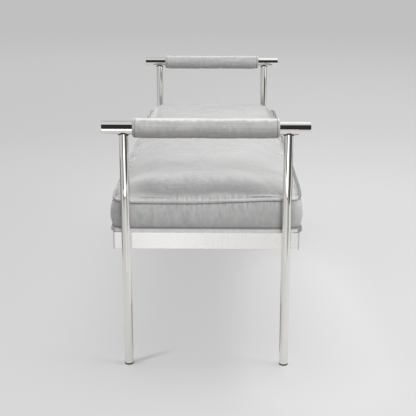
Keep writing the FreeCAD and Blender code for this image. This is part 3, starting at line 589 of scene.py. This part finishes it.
def shapeBlank(cover, a, b, base, top):  # the block rounded, crowned and bulged; says how hard each point is held
    s, tiny = seatCover, 1e-5
    held = {}
    for vertex in cover.data.vertices:
        x, y, z = vertex.co
        onTop, onBase = z > top - tiny, z < base + tiny
        onEdge = abs(x) > a - tiny or abs(y) > b - tiny
        endGap, sideGap, _ = edgeGaps(x, y, a, b)
        x, y = roundCorner(x, y, a, b, s["corner"])
        held[vertex.index] = 1 if onBase or (onTop and onEdge) else s["foamHold"]
        if onTop and not onEdge:
            far = eased((s["farFrom"] - x) / (a - s["farFrom"]))
            endReach = s["endReach"] + (s["farEndReach"] - s["endReach"]) * far
            sideReach = s["sideReach"] + (s["farSideReach"] - s["sideReach"]) * far
            end = eased((endGap - s["margin"]) / (endReach - s["margin"]))
            side = eased((sideGap - s["margin"]) / (sideReach - s["margin"]))
            z += (s["crown"] + s["farCrown"] * far) * end * side
            z += s["edgeRise"] * eased(min(endGap, sideGap) / s["edgeReach"])
        elif not onTop and not onBase:
            full = math.sin(math.pi * (z - base) / (top - base))
            ends, sides = [eased((abs(at) - half + s["bulgeReach"]) / s["bulgeReach"]) for at, half in ((x, a), (y, b))]
            x += math.copysign(s["endBulge"] * full ** s["endRound"] * ends, x)
            y += math.copysign(s["sideBulge"] * full ** s["sideRound"] * sides, y)
        vertex.co = (x, y, z)
    return held


def onTopSeam(e, a, b, top):
    r, near = seatCover["corner"], 1e-4
    u, v = abs(e.x) - a + r, abs(e.y) - b + r
    straight = abs(abs(e.x) - a) < near or abs(abs(e.y) - b) < near
    return abs(e.z - top) < near and (straight or (u > 0 and v > 0 and math.hypot(u, v) > r - near))


def gatherCover(cover, a, b, base, top):  # gathers, dents and the wandering seam
    s = seatCover
    corner = s["corner"]
    for vertex in cover.data.vertices:
        x, y, z = vertex.co
        share = max(0, min(1, (z - base) / (top - base)))
        endGap, sideGap, along = edgeGaps(x, y, a, b)
        atEdge = min(endGap, sideGap) < s["tuckStart"] or (endGap < corner and sideGap < corner)
        onBand = share < 0.995 and atEdge
        fromSeam = (1 - share) * (top - base) if onBand else max(0, min(endGap, sideGap))
        wander = Vector((along * 22, 4 if onBand else 6, endGap < sideGap))
        phase = along / s["tuckPitch"] + s["tuckWander"] * noise.noise(wander)
        group = eased(0.5 + noise.noise(Vector((along * 9, 1, endGap < sideGap))))
        depth = s["tuckDepth"] * eased(fromSeam / s["tuckStart"]) * (1 - eased(fromSeam / s["tuckReach"]))
        depth *= s["tuckLeast"] + (1 - s["tuckLeast"]) * group
        tuck = depth * (0.5 + 0.5 * math.sin(2 * math.pi * phase)) ** 1.5
        fine = noise.noise(Vector((x * 42, y * 38, z * 60)))
        dent = s["rippleDepth"] * (noise.noise(Vector((x * 16, y * 16, z * 26))) + 0.6 * fine)
        dent *= eased(min(fromSeam, s["bandHeight"] * share if onBand else 1) / s["rippleReach"])
        if share > 0.002 and onBand:
            x -= math.copysign((tuck + dent) * eased((corner - endGap) / corner), x)
            y -= math.copysign((tuck + dent) * eased((corner - sideGap) / corner), y)
        elif share > 0.002:
            start, stop = [eased((y - end) / 0.03) for end in s["foldSpan"]]
            fold = hill(endGap - s["foldGap"], 0.0036) * start * (1 - stop) * (x > 0)
            z += s["foldHeight"] * fold - (tuck * s["tuckOnTop"] - dent)
        sideways, rise = seamShift(x, y, a, b, True)
        lowSideways, _ = seamShift(x, y, a, b, False)
        limit = 0.3 + 0.7 * eased(share / 0.18)
        x = math.copysign(min(abs(x), a + (s["endLimit"] - a) * limit), x)
        vertex.co = (x, y + sideways * share + lowSideways * (1 - share), z + rise * share)


def makeSeatCover(material):
    s = seatCover
    low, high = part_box("cover_band")
    a, b, base, top = high.x, high.y, low.z, high.z
    deselect()
    bpy.ops.mesh.primitive_cube_add(size=1, location=(0, 0, (base + top) / 2), scale=(2 * a, 2 * b, top - base))
    cover = settle(bpy.context.object, "seatCover")
    startEdit(cover)
    for axis, cells in enumerate((s["lengthCells"], s["widthCells"], s["sideCells"])):
        splitAlong(cover, axis, cells)
    endEdit()
    held = shapeBlank(cover, a, b, base, top)
    puff(cover, s, held)
    startEdit(cover)  # the top seam stays crisp
    pick(cover, "edges", lambda p, q: onTopSeam(p, a, b, top) and onTopSeam(q, a, b, top))
    bpy.ops.transform.edge_crease(value=1)
    endEdit()
    subdivideOnce(cover)
    gatherCover(cover, a, b, base, top)
    startEdit(cover)  # turn the cover in under the board
    pick(cover, "faces", lambda c, n: (n.z < -0.9 and c.z < base + 0.003
                                       and abs(c.x) < a - s["hem"] and abs(c.y) < b - s["hem"]))
    bpy.ops.mesh.delete(type="FACE")
    bpy.ops.mesh.select_mode(type="EDGE")
    bpy.ops.mesh.select_all(action="DESELECT")
    bpy.ops.mesh.select_non_manifold()
    bpy.ops.mesh.edge_face_add()
    bpy.ops.mesh.select_mode(type="FACE")
    bpy.ops.mesh.inset(thickness=s["hemLip"])
    bpy.ops.transform.translate(value=(0, 0, s["underside"]))
    endEdit()
    finish(cover, 60, material)
    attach(cover, "root")
    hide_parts("cover_band", "cover_top_panel", "wadding", "foam_core")
    print("seat cover", len(cover.data.polygons))


# piping: a ring drawn out to the plan of the cover, sewn along each seam
piping = dict(
    cornerSteps=24, sides=14, lengthCells=300, widthCells=108,
    ripple=0.05, rippleScale=130,
    thinner=0.22,  # the upper cord is drawn tight at one corner
    poke=0.005, leftPoke=0.4, pokeReach=0.016,  # the lower cord stands out at its near corners
    flatten=0.42, overhang=0.0023, overhangOut=0.8,  # and is pressed square on the frame
)


def ringOut(x, y, a, b, corner):  # the way out of the ring, and how far past its middle line
    inX, inY = max(0, abs(x) - a + corner), max(0, abs(y) - b + corner)
    out = Vector((math.copysign(inX, x), math.copysign(inY, y), 0)).normalized()
    if abs(x) < a - corner:
        out = Vector((0, math.copysign(1, y), 0))
    if abs(y) < b - corner:
        out = Vector((math.copysign(1, x), 0, 0))
    if 0.001 < abs(out.x) < 0.999:
        return out, math.hypot(inX, inY) - corner
    return out, Vector((x, y, 0)).dot(out) - (a if abs(out.x) > 0.999 else b if abs(out.y) > 0.999 else 0)


def makePiping(name, node, material, upper):
    s = piping
    low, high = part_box(node)
    radius = (high.z - low.z) / 2
    a, b, level = high.x - radius, high.y - radius, (low.z + high.z) / 2
    corner = seatCover["corner"] + radius
    turns = 4 * s["cornerSteps"]
    deselect()
    bpy.ops.mesh.primitive_torus_add(major_segments=turns, minor_segments=s["sides"], major_radius=corner,
                                     minor_radius=radius, location=(0, 0, level), rotation=(0, 0, math.pi / turns))
    cord = settle(bpy.context.object, name)
    startEdit(cord)
    for axis, half in enumerate((a - corner, b - corner)):
        for way in (-1, 1):  # the four quarters move out to the corners
            pick(cord, "verts", lambda p: p[axis] * way > 0)
            bpy.ops.transform.translate(value=[half * way * (axis == n) for n in range(3)])
        pick(cord, "edges", lambda p, q: abs((p - q)[axis]) > half)
        bpy.ops.mesh.subdivide(number_cuts=s[("lengthCells", "widthCells")[axis]] - 1)
    endEdit()
    for vertex in cord.data.vertices:
        x, y, z = vertex.co
        out, reach = ringOut(x, y, a, b, corner)
        swell = s["ripple"] * noise.noise(Vector((x * s["rippleScale"], y * s["rippleScale"], 2 if upper else 5)))
        swell -= s["thinner"] * upper * eased((x - a + 0.06) / 0.05) * (1 - eased((y + 0.08) / 0.16))
        sideways, rise = seamShift(x, y, a, b, upper)
        poke = 0
        if not upper:
            side = s["leftPoke"] + (1 - s["leftPoke"]) * (y > 0)
            poke = s["poke"] * side * hill(math.hypot(x - a, abs(y) - b), s["pokeReach"])
        if not upper and z < level:
            deep = (level - z) / radius
            over = s["overhang"] * eased(reach / radius * 1.6) * eased(deep * 1.5)
            z = level - radius * deep ** s["flatten"] - over
            poke += math.copysign(radius * abs(reach / radius) ** s["flatten"], reach) - reach + s["overhangOut"] * over
        vertex.co = Vector((x, y + sideways, z + swell * (z - level) + rise)) + out * (swell * reach + poke)
    finish(cord, 80, material)
    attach(cord, "root")
    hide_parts(node)
    print("piping", name)


# grips: a sewn velvet sleeve round each top rail, stitched near both ends
grip = dict(
    around=72, along=100,
    hemInset=0.0065, groove=0.0013, grooveWidth=0.0011, endRound=0.0035,
    pressure=3, growth=0.006, stiffness=10, bend=0.3, cap=0.0012, calm=2, frames=16,
    hold=0.12,
    start=0.0002,  # how far outside its finished radius the sleeve starts
    droop=0.0014, droopReach=0.03,  # the padding hangs a little below the rail
    seamGroove=0.001, seamWidth=0.0012,  # lengthwise seam underneath
    dents=0.0006,
    bore=0.0162, fill=0.9,
    stitches=42, stitchLength=0.0024, stitchThick=0.0005, stitchDepth=0.75,
)


def makeGrip(side, material):
    s = grip
    low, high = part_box("grip_cover_" + side)
    middle, radius, half = (low + high) / 2, (high.z - low.z) / 2, high.y
    deselect()
    bpy.ops.mesh.primitive_cylinder_add(vertices=s["around"], radius=radius, depth=2 * half, end_fill_type="NOTHING",
                                        location=middle, rotation=(math.pi / 2, 0, 0))
    sleeve = settle(bpy.context.object, "gripSleeve_" + side)
    startEdit(sleeve)
    splitAlong(sleeve, 1, s["along"])
    endEdit()
    held = {}
    for vertex in sleeve.data.vertices:
        x, y, z = vertex.co
        out = Vector((x - middle.x, 0, z - middle.z)).normalized()
        gap = half - abs(y)
        nowRadius = radius + s["start"]
        if gap < s["endRound"]:
            nowRadius -= s["endRound"] * (1 - math.sqrt(max(0, 1 - (1 - gap / s["endRound"]) ** 2)))
        nowRadius -= s["groove"] * hill(gap - s["hemInset"], s["grooveWidth"])
        vertex.co = Vector((middle.x, y, middle.z)) + out * nowRadius
        held[vertex.index] = 1 if gap < s["hemInset"] + 0.001 else s["hold"]
    puff(sleeve, s, held)
    startEdit(sleeve)
    for end in (-1, 1):  # the ends turn in to the rail
        pick(sleeve, "verts", lambda p: abs(p.y - end * half) < 1e-5)
        bpy.ops.mesh.extrude_region_move()
        share = s["bore"] / (radius + s["start"] - s["endRound"])
        bpy.ops.transform.resize(value=(share, 1, share), center_override=(middle.x, end * half, middle.z))
    pick(sleeve, "edges", lambda p, q: all(
        abs(abs(e.y) - half) < 1e-5 and math.hypot(e.x - middle.x, e.z - middle.z) < s["bore"] + 3e-4 for e in (p, q)))
    bpy.ops.mesh.bridge_edge_loops()
    bpy.ops.mesh.select_all(action="SELECT")
    bpy.ops.mesh.normals_make_consistent(inside=False)
    endEdit()
    subdivideOnce(sleeve)
    for vertex in sleeve.data.vertices:  # slack, dents, the seam underneath
        x, y, z = vertex.co
        out = Vector((x - middle.x, 0, z - middle.z))
        reach = out.length
        if reach < s["bore"] + 0.002:
            continue
        out.normalize()
        turn = math.atan2(out.x, -out.z)  # zero underneath
        inside = eased((half - abs(y)) / s["droopReach"])
        fine = noise.noise(Vector((x * 90, y * 35, z * 90)))
        move = s["dents"] * inside * (noise.noise(Vector((x * 40, y * 14, z * 40))) + 0.7 * fine)
        move -= s["seamGroove"] * hill(turn * reach, s["seamWidth"])
        move += s["droop"] * 0.5 * max(0, -out.z)
        vertex.co = Vector((x, y, z - s["droop"] * 0.5 * inside)) + out * move
    finish(sleeve, 60, material)
    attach(sleeve, "root")
    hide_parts("grip_cover_" + side, "grip_foam_" + side)
    print("grip", side, len(sleeve.data.polygons))


def makeStitches(side, material):  # one stitch, turned round the sleeve and repeated at the other end
    s = grip
    low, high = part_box("grip_cover_" + side)
    middle, radius = (low + high) / 2, (high.z - low.z) / 2
    place = (middle.x, high.y - s["hemInset"], middle.z + radius - s["groove"] * s["stitchDepth"])
    deselect()
    bpy.ops.mesh.primitive_uv_sphere_add(segments=8, ring_count=5, radius=1, location=place,
                                         scale=(s["stitchLength"] / 2, s["stitchThick"], s["stitchThick"]))
    thread = settle(bpy.context.object, "gripStitches_" + side)
    startEdit(thread)
    bpy.ops.mesh.select_all(action="SELECT")
    for _ in range(s["stitches"] - 1):
        bpy.ops.mesh.duplicate()
        bpy.ops.transform.rotate(value=2 * math.pi / s["stitches"], orient_axis="Y",
                                 center_override=(middle.x, high.y, middle.z))
    bpy.ops.mesh.select_all(action="SELECT")
    bpy.ops.mesh.duplicate()
    bpy.ops.transform.translate(value=(0, -2 * (high.y - s["hemInset"]), 0))
    endEdit()
    finish(thread, 80, material)
    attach(thread, "root")
    print("stitches", side)


# weld beads where each leg meets its top rail, coloured near-black as painted shade and reflection at the joint
weld = dict(steps=48, sides=8, thick=0.0021, ripple=0.0002)


def makeWeld(end, side, material):
    w = weld
    leg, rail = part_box(f"leg_{end}_{side}"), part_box("top_rail_" + end)
    centre, legRadius = (leg[0] + leg[1]) / 2, (leg[1].x - leg[0].x) / 2
    axis, railRadius = (rail[0] + rail[1]) / 2, (rail[1].z - rail[0].z) / 2
    deselect()
    bpy.ops.mesh.primitive_torus_add(major_segments=w["steps"], minor_segments=w["sides"],
                                     major_radius=legRadius + 0.0002, minor_radius=w["thick"],
                                     location=(centre.x, centre.y, axis.z))
    bead = settle(bpy.context.object, f"weldBead_{end}_{side}")
    for vertex in bead.data.vertices:  # follows the saddle under the rail
        across = min(abs(vertex.co.x - axis.x), railRadius * 0.98)
        around = math.atan2(vertex.co.y - centre.y, vertex.co.x - centre.x)
        ripple = w["ripple"] * math.sin(around * 22)
        vertex.co.z -= math.sqrt(railRadius ** 2 - across ** 2) + ripple
    finish(bead, 80, material)
    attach(bead, "root")
    print("weld", end, side)


# lining cloth, stapled round the edge and held up by the cross bars
lining = dict(cells=(90, 32), thick=0.0006, below=0.0005, sag=0.0012, ripple=0.0004)


def makeLining(material):
    s = lining
    low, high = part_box("dust_cover")
    length, width = 2 * high.x, 2 * high.y
    deselect()
    bpy.ops.mesh.primitive_grid_add(x_subdivisions=s["cells"][0], y_subdivisions=s["cells"][1], size=1,
                                    location=(0, 0, high.z - s["below"]))
    bpy.context.object.scale = (length, width, 1)
    cloth = settle(bpy.context.object, "liningCloth")
    bars = [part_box("cross_bar_" + name) for name in ("left", "middle", "right")]
    for vertex in cloth.data.vertices:
        x, y, z = vertex.co
        bar = min(max(0, max(lo.x - x, x - hi.x)) for lo, hi in bars)
        edge = min(high.x - abs(x), high.y - abs(y))
        sag = s["sag"] * eased(bar / 0.08) * eased(edge / 0.05)
        sag += s["ripple"] * noise.noise(Vector((x * 30, y * 30, 1.7))) * eased(bar / 0.03)
        vertex.co.z = z - sag
    wall = cloth.modifiers.new("wall", "SOLIDIFY")
    wall.thickness, wall.offset = s["thick"], -1
    applyAll(cloth)
    finish(cloth, 60, material)
    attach(cloth, "root")
    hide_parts("dust_cover")
    print("lining")


# floor, cards and light; none of it is part of the bench
studio = dict(
    screen=dict(radius=9, spread=76, low=-1, high=62, light=0.03),  # dark room at the front
    cards=dict(  # light and four corners, on the floor unless raised
        whiteCard=(2, ((2.1, -0.62), (2.1, 0.36), (7, -1.07), (7, 0.79))),
        whiteSlope=(1.5, ((0.94, -0.45, 0.33), (0.94, 0.16, 0.33), (2.1, -0.59), (2.1, 0.28))),
        whiteAbove=(1.1, ((0.3, 0.3, 3.5), (0.3, 3, 3.5), (-5, 0.3, 3.5), (-5, 3, 3.5))),
        darkCard=(0.08, ((2.06, 0.76), (1.00, 1.6), (3.8, 1.65), (0.3, 3.9))),
        darkStrip=(0.05, ((2.02, -0.8), (2.02, 0.8), (2.1, -0.8), (2.1, 0.8))),
        # darkUnder: the bench's shadow on the floor, painted as a dark card only the steel sees
        darkUnder=(0.35, ((-0.55, -0.16), (-0.55, 0.16), (0.56, -0.16), (0.56, 0.16))),
        darkLeft=(0.22, ((-0.9, -0.9), (0.55, -0.9), (-1.4, -2.3), (0.8, -2.3))),
        darkRight=(0.22, ((-0.9, 0.9), (0.1, 0.9), (-1.4, 2.3), (0.1, 2.3))),
        darkBackLeft=(0.12, ((-5, -3.6), (-5, -0.9), (-2.4, -3.6), (-2.4, -0.9))),
        darkBackRight=(0.12, ((-5, 0.9), (-5, 3.6), (-2.4, 0.9), (-2.4, 3.6))),
        lightFront=(0.88, ((1.2, -0.25), (1.2, -0.03), (2, -0.33), (2, -0.06))),
        darkEdge=(0.08, ((1.75, -1.2), (1.75, -0.64), (7, -2.08), (7, -1.11))),
        greySide=(0.3, ((1.25, 0.5), (1.25, 1.00), (2, 0.5), (2, 1.1))),
    ),
    keys=[  # place, aimed at, size, watts, seen in the steel, falls on the floor too
        ("keyLeft", (0.6, -4.2, 3.2), (-0.2, 0, 0.35), (1.8, 1.6), 12, True, True),
        ("keyRight", (1.2, 4.4, 1.9), (0, 0, 0.25), (2.2, 2), 60, True, True),
        ("overTop", (-0.6, 0.3, 4.2), (-0.3, 0, 0.4), (3.2, 3.2), 50, False, True),
        ("backTop", (-3.4, 0.2, 3.4), (-0.2, 0, 0.4), (3, 2), 75, False, False),
        ("frontFill", (6.6, 1.5, 4.8), (0, 0, 0.4), (4, 2.4), 480, False, False),
    ],
    sky=0.7, skyBack=0.46, horizon=0.54,  # darker behind the bench and low down
    backOfSky=(-0.75, -0.55, 1, 0), lowSky=(0, 0.3, 1, 0), horizonBand=(0.01, 0.16),
)
floorLight = dict(  # how bright the floor's glow is, and over what metres it changes; the glow is painted light, with a painted pool of light and painted shadows round the feet
    size=60, tone=0.4, glow=0.5,
    middle=0.885, back=0.66, backOver=(0, 2.7), far=0.53, farOver=(3, 9),
    near=1.00, nearOver=(-0.4, 1.1), nearby=(2.5, 6, 1, 0),
    inScreen=0.42, inScreenOver=(3.2, 8.5), pastScreen=(9, 15, 0.12, 0), ahead=(0.15, 0.4),
    left=-0.14, leftOver=(-0.8, 0.8), right=0.04, rightOver=(0, 0.9), rightAhead=(-0.5, 0.8),
    paintedLightPool=0.2, poolY=((0, 0.2), (0.26, 0.55, 1, 0)), poolX=((-0.5, 0.1), (0.6, 1, 1, 0)),
    footShade=0.4, footReach=(0.01, 0.05),
    streakAim=(0.83, 0.55), streakWidth=0.017, streakStart=(-0.004, 0.01), streakEnd=(0.02, 0.13, 1, 0),
)


def makeCard(name, light, corners, gap):
    deselect()
    bpy.ops.mesh.primitive_plane_add(size=1, location=(0, 0, 0))
    card = settle(bpy.context.object, name)
    for vertex, corner in zip(card.data.vertices, corners):
        vertex.co = Vector((*corner, 0)[:3]) + Vector((0, 0, gap))
    glowAlone(card, light)
    card.visible_diffuse = card.visible_shadow = False


def glowAlone(piece, light):  # a staged piece that only the steel sees
    look = newLook(piece.name)
    glow = look.node("ShaderNodeEmission", {}, {"Color": grey(1), "Strength": light})
    look.node("ShaderNodeOutputMaterial", {}, {"Surface": glow})
    piece.data.materials.append(look.owner)
    piece.visible_camera = piece.visible_transmission = False


def makeScreen():  # part of a big sphere, open to the back, the sides and above
    screen = studio["screen"]
    deselect()
    bpy.ops.mesh.primitive_uv_sphere_add(segments=96, ring_count=90, radius=screen["radius"], location=(0, 0, 0))
    shell = settle(bpy.context.object, "darkScreen")
    startEdit(shell)
    pick(shell, "faces", lambda c, n: not (screen["low"] < math.degrees(math.asin(c.z / c.length)) < screen["high"]
                                           and abs(math.degrees(math.atan2(c.y, c.x))) < screen["spread"]))
    bpy.ops.mesh.delete(type="FACE")
    endEdit()
    glowAlone(shell, screen["light"])


def footShadow(x, y):  # painted shadow round each foot, and a painted shadow streak from each left one, as a low lamp would cast
    f = floorLight
    low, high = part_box("leg_right_rear")
    footX, footY = (low.x + high.x) / 2 - abs(x), abs(y) - (low.y + high.y) / 2
    spread = footX * footX * 9 + footY * footY
    around = spread.ramp(*[reach ** 2 for reach in f["footReach"]], 1 - f["footShade"] * 0.3, 1)
    aside = y + (low.y + high.y) / 2
    off = footX * f["streakAim"][0] - aside * f["streakAim"][1]
    streak = abs(off).ramp(0, f["streakWidth"], 1, 0) * aside.ramp(*f["streakStart"]) * aside.ramp(*f["streakEnd"])
    return around * (1 - streak * f["footShade"])


def makeFloor():
    f = floorLight
    deselect()
    bpy.ops.mesh.primitive_plane_add(size=f["size"], location=(0, 0, 0))
    floor = settle(bpy.context.object, "studioFloor")
    look = newLook("studioFloor")
    mottle = look.grain(look.spot(), 1.2, 2)
    x, y, _ = look.axes(look.spot())
    away = (x * x + y * y) ** 0.5
    depth = away.ramp(*f["backOver"], f["middle"], f["back"]) + away.ramp(*f["farOver"], 0, f["far"] - f["back"])
    depth = depth + x.ramp(*f["nearOver"], 0, f["near"] - f["middle"]) * away.ramp(*f["nearby"])
    inside = away < studio["screen"]["radius"]  # painted light: the floor glows brighter where the screen keeps light off it
    kept = inside * away.ramp(*f["inScreenOver"], 0, f["inScreen"]) + (1 - inside) * away.ramp(*f["pastScreen"])
    depth = depth + kept * (x / away).ramp(*f["ahead"])
    # a painted pool of light on the floor beside the right leg
    paintedLightPool = [axis.ramp(*ends) for axis, name in ((y, "poolY"), (x, "poolX")) for ends in f[name]]
    depth = depth + f["paintedLightPool"] * paintedLightPool[0] * paintedLightPool[1] * paintedLightPool[2] * paintedLightPool[3]
    # painted light, darker to the left and lighter to the right
    across = y.ramp(*f["leftOver"], f["left"], 0)
    across = across + y.ramp(*f["rightOver"], 0, f["right"]) * x.ramp(*f["rightAhead"])
    light = depth * footShadow(x, y) * (1 + across * away.ramp(*f["nearby"]))
    floor.data.materials.append(look.close({
        "Base Color": look.blend(mottle, grey(f["tone"] * 0.985), grey(f["tone"] * 1.01)), "Roughness": 0.9,
        "Specular IOR Level": 0, "Emission Color": look.blend(light, grey(0), grey(1)),
        "Emission Strength": f["glow"]}))
    return floor


def makeLamps(floor):
    unlit = bpy.data.collections.new("unlitByFills")
    unlit.objects.link(floor)
    unlit.collection_objects[0].light_linking.link_state = "EXCLUDE"
    for name, place, target, size, watts, mirrored, onFloor in studio["keys"]:
        data = bpy.data.lights.new(name, "AREA")
        data.shape, data.size, data.size_y, data.energy = "RECTANGLE", size[0], size[1], watts
        lamp = bpy.data.objects.new(name, data)
        bpy.context.scene.collection.objects.link(lamp)
        lamp.location = place
        lamp.visible_glossy = mirrored
        if not onFloor:
            lamp.light_linking.receiver_collection = unlit
        lamp.rotation_euler = (Vector(target) - Vector(place)).to_track_quat("-Z", "Y").to_euler()


def makeSky():
    world = bpy.data.worlds.new("studioWorld")
    bpy.context.scene.world = world
    look = Look(world)
    x, _, z = look.axes(look.node("ShaderNodeTexCoord", {}, {}, "Generated"))
    dim = x.ramp(*studio["backOfSky"]).most(z.ramp(*studio["lowSky"]))
    light = studio["sky"] + dim * (studio["skyBack"] - studio["sky"])
    light = light + z.ramp(*studio["horizonBand"], studio["horizon"] - studio["skyBack"], 0)
    glow = look.node("ShaderNodeBackground", {}, {"Color": grey(1), "Strength": light})
    look.node("ShaderNodeOutputWorld", {}, {"Surface": glow})


def makeStudio():
    floor = makeFloor()
    for order, (name, (light, corners)) in enumerate(studio["cards"].items()):
        makeCard(name, light, corners, 0.002 + 0.001 * order)  # never in one plane
    makeScreen()
    makeLamps(floor)
    makeSky()
    print("studio")


# everything in order
setCamera()
makeStudio()
railSteel, legSteel = [makePolishedSteel(name, "tube", axis) for name, axis in (("railSteel", 1), ("legSteel", 2))]
endSteel = makePolishedSteel("endSteel", "frame", 1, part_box("end_rail_left")[1].y)
finishes = {
    railSteel: ("top_rail", "rail_cap"),
    legSteel: ("leg_left", "leg_right"),
    endSteel: ("end_rail", "cross_bar"),
    makePolishedSteel("sideSteel", "frame", 0): ("side_rail",),
    makePlain("zincPlate"): ("leg_bolts", "leg_washers", "leg_inserts", "seat_screws", "seat_washers", "tee_nuts",
                             "staples"),
    makePlain("glidePlastic"): ("foot_glide",),
    makePlywood(): ("seat_board",),
}
for material, starts in finishes.items():  # a CAD node keeps its mesh and gets a finish
    for name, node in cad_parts.items():
        for place in node.material_slots if name.startswith(starts) else ():
            place.material = material
print("finishes")
bandLow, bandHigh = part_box("cover_band")
seatVelvet = makeVelvet("seatVelvet", "seat", gathers={"halfLength": bandHigh.x, "halfWidth": bandHigh.y,
                                                       "seam": bandHigh.z, "base": bandLow.z})
pipingVelvet = makeVelvet("pipingVelvet", "piping", cord={"halfWidth": bandHigh.y, "level": bandHigh.z,
                                                          "low": bandLow.z + 0.004})
gripLow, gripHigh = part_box("grip_cover_left")
gripVelvet = makeVelvet("gripVelvet", "grip", sleeve={"hem": gripHigh.y - grip["hemInset"],
                                                      "axis": (gripLow.z + gripHigh.z) / 2})
makeSeatCover(seatVelvet)
makePiping("pipingTop", "piping_top", pipingVelvet, True)
makePiping("pipingBottom", "piping_bottom", pipingVelvet, False)
thread, paintedJointShade = makePlain("sewingThread"), makePlain("paintedJointShade")
for end in ("left", "right"):
    makeGrip(end, gripVelvet)
    makeStitches(end, thread)
    for side in ("front", "rear"):
        makeWeld(end, side, paintedJointShade)
makeLining(makeLiningCloth())
